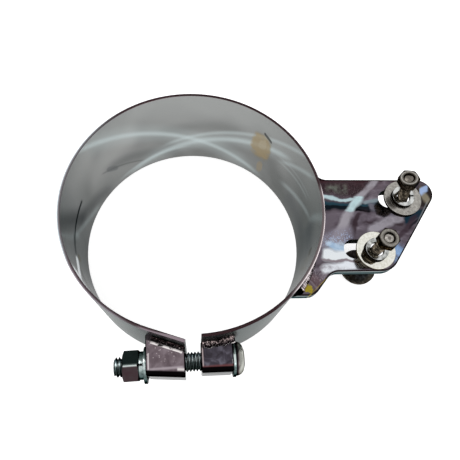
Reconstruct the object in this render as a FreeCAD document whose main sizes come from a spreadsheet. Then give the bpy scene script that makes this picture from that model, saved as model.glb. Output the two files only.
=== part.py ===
import FreeCAD, Part
import math
import os
import Sketcher
from FreeCAD import Placement, Rotation, Vector

# Exhaust bracket clamp: a wide split band for a 5 inch stack, closed by one
# bolt through two solid lugs, with a welded slotted bracket plate that still
# carries its two loose mounting bolts.
#
# Frame: the origin is on the band's axis at mid height and +Z runs along
# that axis. The bracket plate reaches out along +X, and the band's gap and
# closing bolt are on the -Y side. The part stands on the band's lower rim.

# A hexagon's corner radius over half its width across flats
HEX_CORNER = "1.1547005"
# Where the bevel on a hexagon's corners starts, over half its width across flats
HEX_BEVEL_START = 0.92
# How far out the bevel's cutter reaches, over half the width across flats
HEX_BEVEL_REACH = 1.3
# How far that cutter runs past the end face, in millimetres
HEX_BEVEL_PAST = 1
# Height over a nut's foot where its lower bevel starts, in millimetres
NUT_FOOT_LIFT = 0.001

# Radius of a weld bead's hollow face, over its leg
BEAD_HOLLOW = 1.3
# Degrees from a corner of the bracket's foot to the end of its beads
FOOT_BEAD_INSET = 4.5
# Radius of the closing bolt's dome, over the chord from its rim to its flat
DOME_ROUNDNESS = 1.05
# Stock that a lug is cut from, over the lug's length
LUG_STOCK = 1.5
# Share of a shape's volume that a real cut leaves at most
UNCUT = 0.9999
# Two points closer than this are the same one, in millimetres
SAME = 1e-3

doc = FreeCAD.newDocument("ExhaustBracketClamp")
sheet = doc.addObject("Spreadsheet::Sheet", "Sizes")

SIZES = [
    # clamp band
    ("band_bore", 127.0, "inside diameter, closed on a 5 inch stack"),
    ("band_wall", 1.5, "thickness of the band strip"),
    ("band_height", 62.0, "width of the strip, along the stack"),
    ("band_edge", 0.3, "bevel that breaks the strip's edges"),
    ("band_gap", 7.5, "gap between the band's two ends"),
    ("band_lead_slope", 18.5, "degrees that the nut end runs outwards, straight"),
    # closing line through both lugs
    ("closing_standoff", 7.0, "band's outside to the closing bolt's axis"),
    ("closing_shift", -0.75, "gap centre, off the line through the band's axis"),
    ("closing_skew", 2.6, "degrees that the closing bolt stands off square"),
    # lug blocks
    ("nut_lug_length", 18.2, "along the closing bolt"),
    ("head_lug_length", 15.2, "along the closing bolt"),
    ("lug_height", 26.0, "along the band's axis"),
    ("nut_lug_outside", 6.9, "bolt axis to the block's outer face, at its middle"),
    ("head_lug_outside", 6.7, "bolt axis to the block's outer face, at its middle"),
    ("nut_lug_turn", -6.0, "degrees from the bolt's axis to the outer face"),
    ("head_lug_turn", -2.0, "degrees from the bolt's axis to the outer face"),
    ("lug_round", 3.2, "radius on the block's outer corners"),
    ("lug_edge", 0.5, "bevel round the block's ends"),
    ("lug_hole", 10.5, "hole for the closing bolt"),
    ("lug_weld", 2.8, "leg of the fillet beads on the lugs"),
    ("weld_inset", 0.6, "end of a lug to the end of its bead"),
    # closing bolt, 3/8 inch
    ("closing_bolt_size", 9.525, "thread diameter"),
    ("closing_bolt_length", 58.4, "under the head"),
    ("closing_head_width", 16.4, "button head's diameter"),
    ("closing_head_height", 4.4, "button head's height"),
    ("closing_head_rim", 0.8, "straight rim under the dome"),
    ("closing_head_crown", 9.0, "diameter of the flat on the dome"),
    ("closing_socket", 5.56, "hexagon socket, across flats"),
    ("closing_socket_depth", 2.8, "hexagon socket's depth"),
    ("closing_nut_flats", 14.29, "across flats"),
    ("closing_nut_height", 7.9, "thickness"),
    ("closing_washer_width", 17.5, "outside diameter"),
    ("closing_washer_hole", 10.3, "hole"),
    ("closing_washer_thick", 1.6, "thickness"),
    ("closing_lock_width", 13.4, "outside diameter"),
    ("closing_lock_thick", 2.2, "thickness"),
    # bracket plate
    ("plate_thick", 6.35, "1/4 inch plate"),
    ("plate_half", 28.0, "half of the plate's width"),
    ("plate_short", 107.2, "band axis to the plate's short corner"),
    ("plate_long", 147.6, "band axis to the plate's long corner"),
    ("plate_neck", 73.6, "band axis to where the foot starts to flare"),
    ("foot_half", 40.9, "half of the flared foot's width"),
    ("foot_reach", 62.9, "band axis to the foot's outer corners"),
    ("foot_root", 43.0, "band axis to the foot's hidden end inside the band"),
    ("plate_long_round", 8.5, "radius of the long corner"),
    ("plate_short_round", 12.0, "radius of the short corner"),
    ("foot_round", 8.0, "radius of the foot's corners and of its flare"),
    ("plate_edge", 1.3, "rounding of the plate's edges"),
    ("plate_weld", 4.0, "leg of the fillet beads on the plate"),
    ("plate_bevel", 1.5, "depth of the weld bevel along the foot, as wide as the bead"),
    # the plate's two slots
    ("slot_width", 11.1, "7/16 inch slots"),
    ("slot_length", 25.4, "end to end"),
    ("slot_spread", 15.2, "plate's middle line to each slot's middle line"),
    ("inboard_slot_start", 81.6, "band axis to the inboard slot's near end"),
    ("outboard_slot_start", 105.8, "band axis to the outboard slot's near end"),
    # bracket fasteners, M6
    ("bolt_size", 6.0, "thread diameter"),
    ("bolt_length", 50.0, "under the head"),
    ("hex_flats", 10.0, "head and nut, across flats"),
    ("bolt_head_height", 4.0, "thickness of the hexagon head"),
    ("nut_height", 5.2, "thickness of the hexagon nut"),
    ("nut_over_end", 0.6, "nut's top face above the bolt's end"),
    ("hex_turn", 45.0, "degrees from +X to a corner of the heads and nuts"),
    ("washer_width", 21.8, "outside diameter"),
    ("washer_hole", 8.4, "hole"),
    ("washer_thick", 1.6, "thickness"),
    ("lock_width", 12.8, "outside diameter"),
    ("lock_hole", 7.8, "hole"),
    ("lock_thick", 2.0, "thickness"),
    # where the loose bolts stand in their slots
    ("inboard_along", 17.3, "slot's near end to the bolt's axis"),
    ("inboard_aside", -1.3, "off the slot's middle line"),
    ("outboard_along", 14.8, "slot's near end to the axis, at the plate's middle"),
    ("outboard_aside", -0.7, "off the slot's middle line, at the plate's middle"),
    ("outboard_lean", 14.4, "degrees that the bolt leans in its slot"),
    ("outboard_lean_towards", 142.0, "direction of the lean, degrees from +X"),
    # clearances and small edges
    ("thread_clearance", 0.08, "nut to bolt, on the radius"),
    ("lock_clearance", 0.25, "closing bolt to its lock washer, on the radius"),
    ("lock_split", 1.1, "gap in a split lock washer"),
    ("bolt_tip", 0.8, "chamfer at a bolt's end"),
    ("hex_chamfer", 0.45, "fall of the chamfer on hexagon corners, for each unit outwards"),
]

for row, (alias, value, note) in enumerate(SIZES, start=1):
    sheet.set("A%d" % row, alias)
    sheet.set("B%d" % row, str(value))
    sheet.set("C%d" % row, note)
    sheet.setAlias("B%d" % row, alias)
doc.recompute()


def size(alias):
    """Value of one size, in millimetres or degrees."""
    return float(sheet.get(alias))


def bind(obj, prop, expression):
    """Tie a property to sizes. Words that name a size read its cell."""
    words = expression
    for alias in sorted((entry[0] for entry in SIZES), key=len, reverse=True):
        words = words.replace("<" + alias + ">", "Sizes." + alias)
    obj.setExpression(prop, words)


def value_of(expression):
    """Number that an expression of sizes gives, for first guesses."""
    words = expression
    for entry in SIZES:
        words = words.replace("<" + entry[0] + ">", "(%.6f)" % size(entry[0]))
    bare = FreeCAD.Units.Quantity(words)
    return float(bare.Value)


def new_body(label):
    body = doc.addObject("PartDesign::Body", label.replace(" ", "_"))
    body.Label = label
    return body


def origin_plane(body, role):
    for feature in body.Origin.OriginFeatures:
        if feature.Role == role:
            return feature
    raise ValueError(role)


def new_sketch(body, name, role="XY_Plane", height=None):
    sketch = body.newObject("Sketcher::SketchObject", name)
    sketch.AttachmentSupport = [(origin_plane(body, role), "")]
    sketch.MapMode = "FlatFace"
    if height is not None:
        bind(sketch, ".AttachmentOffset.Base.z", height)
    return sketch


def pin_point(sketch, geometry, point, across, up):
    """Fix one point of a sketch by two expressions from the origin."""
    for kind, expression, axis in (("DistanceX", across, -2), ("DistanceY", up, -1)):
        if expression == "0":
            sketch.addConstraint(Sketcher.Constraint("PointOnObject", geometry, point, axis))
            continue
        rule = Sketcher.Constraint(kind, -1, 1, geometry, point, value_of(expression))
        index = sketch.addConstraint(rule)
        bind(sketch, "Constraints[%d]" % index, expression)


def polygon(sketch, corners):
    """Closed run of straight lines through corners given as expressions."""
    points = [Vector(value_of(across), value_of(up), 0) for across, up in corners]
    first = sketch.GeometryCount
    count = len(points)
    for index, start in enumerate(points):
        sketch.addGeometry(Part.LineSegment(start, points[(index + 1) % count]), False)
    for index in range(count):
        follower = first + (index + 1) % count
        joint = Sketcher.Constraint("Coincident", first + index, 2, follower, 1)
        sketch.addConstraint(joint)
    for index, (across, up) in enumerate(corners):
        pin_point(sketch, first + index, 1, across, up)
    return first


def circle(sketch, radius, across="0", up="0"):
    centre = Vector(value_of(across), value_of(up), 0)
    shape = Part.Circle(centre, Vector(0, 0, 1), value_of(radius))
    ring = sketch.addGeometry(shape, False)
    pin_point(sketch, ring, 3, across, up)
    index = sketch.addConstraint(Sketcher.Constraint("Radius", ring, value_of(radius)))
    bind(sketch, "Constraints[%d]" % index, radius)


def slot_outline(sketch, near, far, across_middle, radius):
    """Round-ended slot along the sketch's first axis."""
    r = value_of(radius)
    left = Vector(value_of(near) + r, value_of(across_middle), 0)
    right = Vector(value_of(far) - r, value_of(across_middle), 0)
    up = Vector(0, r, 0)
    quarter = math.pi / 2
    normal = Vector(0, 0, 1)
    left_circle = Part.Circle(left, normal, r)
    right_circle = Part.Circle(right, normal, r)
    a = sketch.addGeometry(Part.ArcOfCircle(left_circle, quarter, 3 * quarter), False)
    b = sketch.addGeometry(Part.LineSegment(left - up, right - up), False)
    c = sketch.addGeometry(Part.ArcOfCircle(right_circle, -quarter, quarter), False)
    d = sketch.addGeometry(Part.LineSegment(right + up, left + up), False)
    for one, end, other, start in ((a, 2, b, 1), (b, 2, c, 1), (c, 2, d, 1), (d, 2, a, 1)):
        sketch.addConstraint(Sketcher.Constraint("Tangent", one, end, other, start))
    index = sketch.addConstraint(Sketcher.Constraint("Radius", a, r))
    bind(sketch, "Constraints[%d]" % index, radius)
    pin_point(sketch, a, 3, near + " + " + radius, across_middle)
    pin_point(sketch, c, 3, far + " - (" + radius + ")", across_middle)


def pad(body, sketch, length, middle=False, reverse=False):
    feature = body.newObject("PartDesign::Pad", sketch.Name + "_pad")
    feature.Profile = sketch
    bind(feature, "Length", length)
    feature.Midplane = middle
    feature.Reversed = reverse
    body.Tip = feature
    doc.recompute()
    return feature


def revolve(body, sketch, angle="360", kind="PartDesign::Revolution"):
    feature = body.newObject(kind, sketch.Name + "_turned")
    feature.Profile = sketch
    feature.ReferenceAxis = (sketch, ["V_Axis"])
    bind(feature, "Angle", angle)
    body.Tip = feature
    doc.recompute()
    return feature


def round_edges(body, base, wanted, radius, name):
    """Fillet the edges of a feature that a test picks."""
    names = []
    for number, edge in enumerate(base.Shape.Edges, start=1):
        if wanted(edge):
            names.append("Edge%d" % number)
    feature = body.newObject("PartDesign::Fillet", name)
    feature.Base = (base, names)
    bind(feature, "Radius", radius)
    body.Tip = feature
    doc.recompute()
    return feature


def bevel_edges(body, base, wanted, width, name):
    """Chamfer the edges of a feature that a test picks."""
    names = []
    for number, edge in enumerate(base.Shape.Edges, start=1):
        if wanted(edge):
            names.append("Edge%d" % number)
    feature = body.newObject("PartDesign::Chamfer", name)
    feature.Base = (base, names)
    bind(feature, "Size", width)
    body.Tip = feature
    doc.recompute()
    return feature


def is_upright(edge, x, y):
    """True for an edge along Z through the point x, y."""
    ends = [vertex.Point for vertex in edge.Vertexes]
    return len(ends) == 2 and all(math.hypot(p.x - x, p.y - y) < SAME for p in ends)


def is_flat_at(edge, z):
    box = edge.BoundBox
    return abs(box.ZMin - z) < SAME and abs(box.ZMax - z) < SAME


# Placement of what lies on the closing bolt's axis
skew = math.radians(size("closing_skew"))
band_outside = size("band_bore") / 2 + size("band_wall")
closing_centre = Vector(size("closing_shift"), -(band_outside + size("closing_standoff")), 0)
closing_along = Vector(math.cos(skew), math.sin(skew), 0)
closing_across = Vector(-math.sin(skew), math.cos(skew), 0)
closing_turn = Rotation(Vector(0, 0, 1), size("closing_skew"))
half_gap = size("band_gap") / 2
nut_end = -half_gap - size("nut_lug_length")
head_end = half_gap + size("head_lug_length")


def on_closing_axis(distance, facing=1):
    """Local +Z along the bolt, at a distance from the gap's centre."""
    turn = Rotation(Vector(0, 0, 1), closing_along * facing)
    return Placement(closing_centre + closing_along * distance, turn)


# Where the band's round stretch ends on each side, and its straight lead
lead_slope = math.radians(size("band_lead_slope"))
lead_along = Vector(math.cos(lead_slope), -math.sin(lead_slope), 0)
lead_outwards = Vector(-math.sin(lead_slope), -math.cos(lead_slope), 0)
head_side = math.asin((size("closing_shift") + half_gap) / band_outside) - math.pi / 2
nut_side = 1.5 * math.pi - lead_slope
lead_end_x = size("closing_shift") - half_gap
lead_length = lead_end_x / math.cos(lead_slope) + band_outside * math.tan(lead_slope)


def at_azimuth(angle, radius):
    return Vector(radius * math.cos(angle), radius * math.sin(angle), 0)


def wall_line(sketch, radius_expression):
    """One face of the strip: the arc about the axis and its straight lead."""
    radius = value_of(radius_expression)
    whole = Part.Circle(Vector(0, 0, 0), Vector(0, 0, 1), radius)
    arc = sketch.addGeometry(Part.ArcOfCircle(whole, head_side, nut_side), False)
    start = at_azimuth(nut_side, radius)
    end = start + lead_along * lead_length
    lead = sketch.addGeometry(Part.LineSegment(start, end), False)
    sketch.addConstraint(Sketcher.Constraint("Coincident", arc, 3, -1, 1))
    index = sketch.addConstraint(Sketcher.Constraint("Radius", arc, radius))
    bind(sketch, "Constraints[%d]" % index, radius_expression)
    sketch.addConstraint(Sketcher.Constraint("Tangent", arc, 2, lead, 1))
    return arc, lead


def steer_lead(sketch, lead):
    """The straight lead ends on the nut side of the gap, at its slope."""
    across = "<band_gap> / 2 - <closing_shift>"
    index = sketch.addConstraint(Sketcher.Constraint("DistanceX", lead, 2, -1, 1, value_of(across)))
    bind(sketch, "Constraints[%d]" % index, across)
    index = sketch.addConstraint(Sketcher.Constraint("Angle", lead, -lead_slope))
    bind(sketch, "Constraints[%d]" % index, "-<band_lead_slope> * 1 deg")


def place_head_side(sketch, arc):
    """Ends the arc on the head side of the gap."""
    across = "<closing_shift> + <band_gap> / 2"
    index = sketch.addConstraint(Sketcher.Constraint("DistanceX", -1, 1, arc, 1, value_of(across)))
    bind(sketch, "Constraints[%d]" % index, across)


# Band: one strip rolled round, its nut end running straight outwards
def make_band():
    band = new_body("clamp_band")
    sketch = new_sketch(band, "BandStrip")
    outer_arc, outer_lead = wall_line(sketch, "<band_bore> / 2 + <band_wall>")
    inner_arc, inner_lead = wall_line(sketch, "<band_bore> / 2")
    steer_lead(sketch, outer_lead)
    place_head_side(sketch, outer_arc)
    outer_end = at_azimuth(nut_side, band_outside) + lead_along * lead_length
    inner_end = at_azimuth(nut_side, size("band_bore") / 2) + lead_along * lead_length
    cap = sketch.addGeometry(Part.LineSegment(outer_end, inner_end), False)
    sketch.addConstraint(Sketcher.Constraint("Coincident", outer_lead, 2, cap, 1))
    sketch.addConstraint(Sketcher.Constraint("Coincident", cap, 2, inner_lead, 2))
    sketch.addConstraint(Sketcher.Constraint("Perpendicular", outer_lead, cap))
    outer_start = at_azimuth(head_side, band_outside)
    inner_start = at_azimuth(head_side, size("band_bore") / 2)
    mouth = sketch.addGeometry(Part.LineSegment(outer_start, inner_start), False)
    sketch.addConstraint(Sketcher.Constraint("Coincident", outer_arc, 1, mouth, 1))
    sketch.addConstraint(Sketcher.Constraint("Coincident", mouth, 2, inner_arc, 1))
    sketch.addConstraint(Sketcher.Constraint("PointOnObject", -1, 1, mouth))
    strip = pad(band, sketch, "<band_height>", middle=True)
    top = size("band_height") / 2
    bevel_edges(
        band,
        strip,
        lambda edge: is_flat_at(edge, top) or is_flat_at(edge, -top),
        "<band_edge>",
        "BandEdges",
    )
    return band


# Form of the band's outside, which cuts the seats of lugs and plate
def make_seat():
    seat = new_body("band_outside_form")
    sketch = new_sketch(seat, "SeatOutline")
    arc, lead = wall_line(sketch, "<band_bore> / 2 + <band_wall>")
    steer_lead(sketch, lead)
    place_head_side(sketch, arc)
    end = at_azimuth(nut_side, band_outside) + lead_along * lead_length
    across_gap = sketch.addGeometry(Part.LineSegment(end, at_azimuth(head_side, band_outside)), False)
    sketch.addConstraint(Sketcher.Constraint("Coincident", lead, 2, across_gap, 1))
    sketch.addConstraint(Sketcher.Constraint("Coincident", across_gap, 2, arc, 1))
    pad(seat, sketch, "<band_height>", middle=True)
    return seat


# Lug: a block with rounded outer corners, its ends square to the bolt, its
# back cut to the band's outside, drilled for the bolt
def make_lug(label, near, length, outside, turn, seat):
    middle = near + size(length) / 2
    bar = new_body(label + "_bar")
    sketch = new_sketch(bar, label + "_section", "YZ_Plane")
    outer = "-<%s>" % outside
    inner = "<closing_standoff> + <%s>" % outside
    top = "<lug_height> / 2"
    polygon(sketch, [(outer, "-" + top), (inner, "-" + top), (inner, top), (outer, top)])
    stock = pad(bar, sketch, "<%s> * %.2f" % (length, LUG_STOCK), middle=True)

    def on_outer_corner(edge):
        box = edge.BoundBox
        flat = box.YMax - box.YMin < SAME and box.ZMax - box.ZMin < SAME
        return flat and abs(box.YMin + size(outside)) < SAME

    round_edges(bar, stock, on_outer_corner, "<lug_round>", label + "_corners")
    about_z = Rotation(Vector(0, 0, 1), size("closing_skew") + size(turn))
    bar.Placement = Placement(closing_centre + closing_along * middle, about_z)
    ends = doc.addObject("Part::Box", label + "_ends")
    bind(ends, "Length", "<%s>" % length)
    bind(ends, "Width", "<lug_height> * 2")
    bind(ends, "Height", "<lug_height> * 2")
    corner = closing_centre + closing_along * near
    corner -= closing_across * size("lug_height") + Vector(0, 0, size("lug_height"))
    ends.Placement = Placement(corner, closing_turn)
    block = doc.addObject("Part::Common", label + "_block")
    block.Base = bar
    block.Tool = ends
    doc.recompute()
    eased = doc.addObject("Part::Chamfer", label + "_eased")
    eased.Base = block
    edges = []
    for number, edge in enumerate(block.Shape.Edges, start=1):
        if is_end_edge(edge, near, size(length)):
            edges.append((number, size("lug_edge"), size("lug_edge")))
    eased.Edges = edges
    seated = doc.addObject("Part::Cut", label + "_seated")
    seated.Base = eased
    seated.Tool = seat
    drill = doc.addObject("Part::Cylinder", label + "_drill")
    bind(drill, "Radius", "<lug_hole> / 2")
    bind(drill, "Height", "<%s> * 2" % length)
    drill.Placement = on_closing_axis(middle - size(length))
    lug = doc.addObject("Part::Cut", label)
    lug.Base = seated
    lug.Tool = drill
    doc.recompute()
    return lug


def is_end_edge(edge, near, length):
    """True for the edges round a block's two end faces, its back left out."""
    spots = [vertex.Point - closing_centre for vertex in edge.Vertexes]
    along = [spot.dot(closing_along) for spot in spots]
    across = [spot.dot(closing_across) for spot in spots]
    same_end = abs(along[0] - along[-1]) < SAME
    at_end = abs(along[0] - near) < SAME or abs(along[0] - near - length) < SAME
    at_back = min(across) > 0
    return same_end and at_end and not at_back


def azimuth_on_band(distance):
    """Direction from the band's axis to a place along the closing line."""
    place = closing_centre + closing_along * distance
    return math.degrees(math.asin(place.x / band_outside)) - 90.0


# Fillet bead's section: a hollow-faced triangle in the corner of two faces
def bead_section(sketch, leg, wall, ledge, sunk):
    corner = Vector(value_of(wall), value_of(ledge), 0)
    root = corner - Vector(0, value_of(sunk), 0)
    reach = value_of(leg)
    hollow = BEAD_HOLLOW * reach
    toe = corner + Vector(reach, 0, 0)
    crown = corner + Vector(0, reach, 0)
    set_back = math.sqrt(hollow ** 2 - (toe - crown).Length ** 2 / 4)
    centre = (toe + crown) * 0.5 + Vector(1, 1, 0).normalize() * set_back
    foot = sketch.addGeometry(Part.LineSegment(root, toe), False)
    to_toe = math.atan2(toe.y - centre.y, toe.x - centre.x)
    to_crown = math.atan2(crown.y - centre.y, crown.x - centre.x)
    whole = Part.Circle(centre, Vector(0, 0, 1), hollow)
    face = sketch.addGeometry(Part.ArcOfCircle(whole, to_crown, to_toe), False)
    back = sketch.addGeometry(Part.LineSegment(crown, root), False)
    sketch.addConstraint(Sketcher.Constraint("Coincident", foot, 2, face, 2))
    sketch.addConstraint(Sketcher.Constraint("Coincident", face, 1, back, 1))
    sketch.addConstraint(Sketcher.Constraint("Coincident", back, 2, foot, 1))
    pin_point(sketch, foot, 1, wall, ledge + " - " + sunk)
    pin_point(sketch, foot, 2, wall + " + " + leg, ledge)
    pin_point(sketch, back, 1, wall, ledge + " + " + leg)
    index = sketch.addConstraint(Sketcher.Constraint("Radius", face, hollow))
    bind(sketch, "Constraints[%d]" % index, "%s * %.2f" % (leg, BEAD_HOLLOW))


# Bead laid round the band's outside, between two directions in degrees
def make_round_bead(label, leg, ledge, start, span, below, sunk="0"):
    body = new_body(label)
    sketch = new_sketch(body, label + "_section", "XZ_Plane")
    bead_section(sketch, leg, "<band_bore> / 2 + <band_wall>", ledge, sunk)
    feature = revolve(body, sketch, "%.6f" % span)
    backwards = feature.Shape.CenterOfMass.y < 0
    flipped = Rotation(Vector(1, 0, 0), 180 if below else 0)
    turn = start + (span if backwards != below else 0)
    body.Placement = Placement(Vector(), Rotation(Vector(0, 0, 1), turn) * flipped)
    doc.recompute()
    return body


# Bead laid along the band's straight lead, under the nut side's lug
def make_straight_bead(label, leg, ledge, below):
    body = new_body(label)
    sketch = new_sketch(body, label + "_section", "XZ_Plane")
    bead_section(sketch, leg, "0", ledge, "0")
    run = lead_length - 2 * size("weld_inset")
    pad(body, sketch, "%.6f" % run)
    backwards = body.Shape.CenterOfMass.y < 0
    start = at_azimuth(nut_side, band_outside) + lead_along * size("weld_inset")
    flipped = Rotation(Vector(1, 0, 0), 180 if below else 0)
    turn = Rotation(Vector(0, 0, 1), math.degrees(nut_side))
    if backwards != below:
        start = start + lead_along * run
    body.Placement = Placement(start, turn * flipped)
    doc.recompute()
    return body


# Plain washer: a stamped ring
def make_washer(label, width, hole, thick):
    body = new_body(label)
    sketch = new_sketch(body, label + "_ring")
    circle(sketch, width + " / 2")
    circle(sketch, hole + " / 2")
    pad(body, sketch, thick)
    return body


# Split lock washer: a square-section ring with one slot through it
def make_lock_washer(label, width, hole, thick):
    body = new_body(label)
    sketch = new_sketch(body, label + "_ring")
    circle(sketch, width + " / 2")
    circle(sketch, hole)
    whole = pad(body, sketch, thick)
    slit = new_sketch(body, label + "_split")
    half = "<lock_split> / 2"
    polygon(slit, [("0", "-" + half), (width, "-" + half), (width, half), ("0", half)])
    cut = body.newObject("PartDesign::Pocket", label + "_slot")
    cut.Profile = slit
    cut.Type = "ThroughAll"
    cut.Midplane = True
    body.Tip = cut
    doc.recompute()
    if cut.Shape.Volume > whole.Shape.Volume * UNCUT:
        raise ValueError(label + " has no split")
    return body


def hexagon(sketch, flats):
    """Regular hexagon about the sketch's origin, a corner on the first axis."""
    corner = flats + " / 2 * " + HEX_CORNER
    half_side = flats + " / 4 * " + HEX_CORNER
    half_flats = flats + " / 2"
    polygon(
        sketch,
        [
            (corner, "0"),
            (half_side, half_flats),
            ("-(" + half_side + ")", half_flats),
            ("-(" + corner + ")", "0"),
            ("-(" + half_side + ")", "-(" + half_flats + ")"),
            (half_side, "-(" + half_flats + ")"),
        ],
    )


def bevel_corners(body, label, flats, face_height, towards):
    """Turn the corners of a hexagon back from one end face."""
    sketch = new_sketch(body, label, "XZ_Plane")
    inner = "(" + flats + " / 2 * %.2f)" % HEX_BEVEL_START
    outer = "(" + flats + " / 2 * %.2f)" % HEX_BEVEL_REACH
    drop = "(" + outer + " - " + inner + ") * <hex_chamfer>"
    sign = "-" if towards > 0 else "+"
    beyond = "+" if towards > 0 else "-"
    past = "%s %s %g" % (face_height, beyond, HEX_BEVEL_PAST)
    polygon(
        sketch,
        [
            (inner, face_height),
            (outer, face_height + " " + sign + " (" + drop + ")"),
            (outer, past),
            (inner, past),
        ],
    )
    return revolve(body, sketch, "360", "PartDesign::Groove")


# Hexagon nut with both ends' corners turned back and a plain bore
def make_nut(label, flats, height, thread):
    body = new_body(label)
    sketch = new_sketch(body, label + "_hexagon")
    hexagon(sketch, flats)
    circle(sketch, thread + " / 2 + <thread_clearance>")
    pad(body, sketch, height)
    bevel_corners(body, label + "_top", flats, height, 1)
    bevel_corners(body, label + "_bottom", flats, str(NUT_FOOT_LIFT), -1)
    return body


# Hexagon bolt, thread left plain: head below the origin, shank above it
def make_hex_bolt(label):
    body = new_body(label)
    head = new_sketch(body, label + "_hexagon")
    hexagon(head, "<hex_flats>")
    pad(body, head, "<bolt_head_height>", reverse=True)
    bevel_corners(body, label + "_bevel", "<hex_flats>", "-<bolt_head_height>", -1)
    shank = new_sketch(body, label + "_shank")
    circle(shank, "<bolt_size> / 2")
    rod = pad(body, shank, "<bolt_length>")
    bevel_edges(body, rod, lambda edge: is_flat_at(edge, size("bolt_length")), "<bolt_tip>", label + "_tip")
    return body


# Closing bolt: button head above the origin, with a hexagon socket
def make_closing_bolt(label):
    body = new_body(label)
    sketch = new_sketch(body, label + "_profile", "XZ_Plane")
    shank = "<closing_bolt_size> / 2"
    end = "-<closing_bolt_length>"
    rim = "<closing_head_width> / 2"
    crown = "<closing_head_crown> / 2"
    corners = [
        ("0", end),
        (shank + " - <bolt_tip>", end),
        (shank, end + " + <bolt_tip>"),
        (shank, "0"),
        (rim, "0"),
        (rim, "<closing_head_rim>"),
        (crown, "<closing_head_height>"),
        ("0", "<closing_head_height>"),
    ]
    points = [Vector(value_of(across), value_of(up), 0) for across, up in corners]
    lines = []
    for start, finish in zip(points[:5], points[1:6]):
        lines.append(sketch.addGeometry(Part.LineSegment(start, finish), False))
    rim_point, crown_point, top_point = points[5:]
    chord = crown_point - rim_point
    dome = chord.Length * DOME_ROUNDNESS
    inwards = Vector(-chord.y, chord.x, 0).normalize()
    centre = (rim_point + crown_point) * 0.5 + inwards * math.sqrt(dome ** 2 - chord.Length ** 2 / 4)
    from_rim = math.atan2(rim_point.y - centre.y, rim_point.x - centre.x)
    to_crown = math.atan2(crown_point.y - centre.y, crown_point.x - centre.x)
    whole = Part.Circle(centre, Vector(0, 0, 1), dome)
    arc = sketch.addGeometry(Part.ArcOfCircle(whole, from_rim, to_crown), False)
    flat = sketch.addGeometry(Part.LineSegment(crown_point, top_point), False)
    back = sketch.addGeometry(Part.LineSegment(top_point, points[0]), False)
    for one, other in zip(lines, lines[1:]):
        sketch.addConstraint(Sketcher.Constraint("Coincident", one, 2, other, 1))
    sketch.addConstraint(Sketcher.Constraint("Coincident", lines[-1], 2, arc, 1))
    sketch.addConstraint(Sketcher.Constraint("Coincident", arc, 2, flat, 1))
    sketch.addConstraint(Sketcher.Constraint("Coincident", flat, 2, back, 1))
    sketch.addConstraint(Sketcher.Constraint("Coincident", back, 2, lines[0], 1))
    for geometry, (across, up) in zip(lines, corners[:5]):
        pin_point(sketch, geometry, 1, across, up)
    pin_point(sketch, arc, 1, *corners[5])
    pin_point(sketch, flat, 1, *corners[6])
    pin_point(sketch, back, 1, *corners[7])
    sketch.addConstraint(Sketcher.Constraint("Radius", arc, dome))
    turned = revolve(body, sketch)
    socket = new_sketch(body, label + "_socket", height="<closing_head_height>")
    hexagon(socket, "<closing_socket>")
    cut = body.newObject("PartDesign::Pocket", label + "_recess")
    cut.Profile = socket
    bind(cut, "Length", "<closing_socket_depth>")
    body.Tip = cut
    doc.recompute()
    if cut.Shape.Volume > turned.Shape.Volume * UNCUT:
        raise ValueError("the socket cuts nothing")
    return body


# Bracket plate: cut from thick plate, foot flared to the band, edges eased,
# bevelled for the welds where it meets the band
def make_plate(seat):
    blank = new_body("plate_blank")
    sketch = new_sketch(blank, "PlateOutline")
    buried = "<foot_root>"
    corners = [
        (buried, "-<foot_half>", None),
        ("<foot_reach>", "-<foot_half>", "<foot_round>"),
        ("<plate_neck>", "-<plate_half>", "<foot_round>"),
        ("<plate_short>", "-<plate_half>", "<plate_short_round>"),
        ("<plate_long>", "<plate_half>", "<plate_long_round>"),
        ("<plate_neck>", "<plate_half>", "<foot_round>"),
        ("<foot_reach>", "<foot_half>", "<foot_round>"),
        (buried, "<foot_half>", None),
    ]
    polygon(sketch, [(across, up) for across, up, radius in corners])
    feature = pad(blank, sketch, "<plate_thick>", middle=True)
    for index, (across, up, radius) in enumerate(corners):
        if radius is None:
            continue
        x = value_of(across)
        y = value_of(up)
        feature = round_edges(
            blank,
            feature,
            lambda edge: is_upright(edge, x, y),
            radius,
            "PlateCorner%d" % index,
        )
    top = size("plate_thick") / 2
    buried_x = value_of(buried)

    def on_rim(edge):
        level = is_flat_at(edge, top) or is_flat_at(edge, -top)
        box = edge.BoundBox
        hidden = box.XMax < buried_x + SAME
        return level and not hidden

    round_edges(blank, feature, on_rim, "<plate_edge>", "PlateEdges")
    solid_volume = blank.Shape.Volume
    slots = new_sketch(blank, "Slots")
    half_slot = "<slot_width> / 2"
    for start, middle in (
        ("<inboard_slot_start>", "-<slot_spread>"),
        ("<outboard_slot_start>", "<slot_spread>"),
    ):
        slot_outline(slots, start, start + " + <slot_length>", middle, half_slot)
    cut = blank.newObject("PartDesign::Pocket", "SlotCut")
    cut.Profile = slots
    cut.Type = "ThroughAll"
    cut.Midplane = True
    blank.Tip = cut
    doc.recompute()
    if blank.Shape.Volume > solid_volume * UNCUT:
        raise ValueError("the slots cut nothing")
    seated = doc.addObject("Part::Cut", "plate_seated")
    seated.Base = blank
    seated.Tool = seat
    upper = doc.addObject("Part::Cut", "plate_bevelled_above")
    upper.Base = seated
    upper.Tool = make_bevel_cutter("bevel_above", "")
    plate = doc.addObject("Part::Cut", "bracket_plate")
    plate.Base = upper
    plate.Tool = make_bevel_cutter("bevel_below", "-")
    doc.recompute()
    return plate


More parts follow.
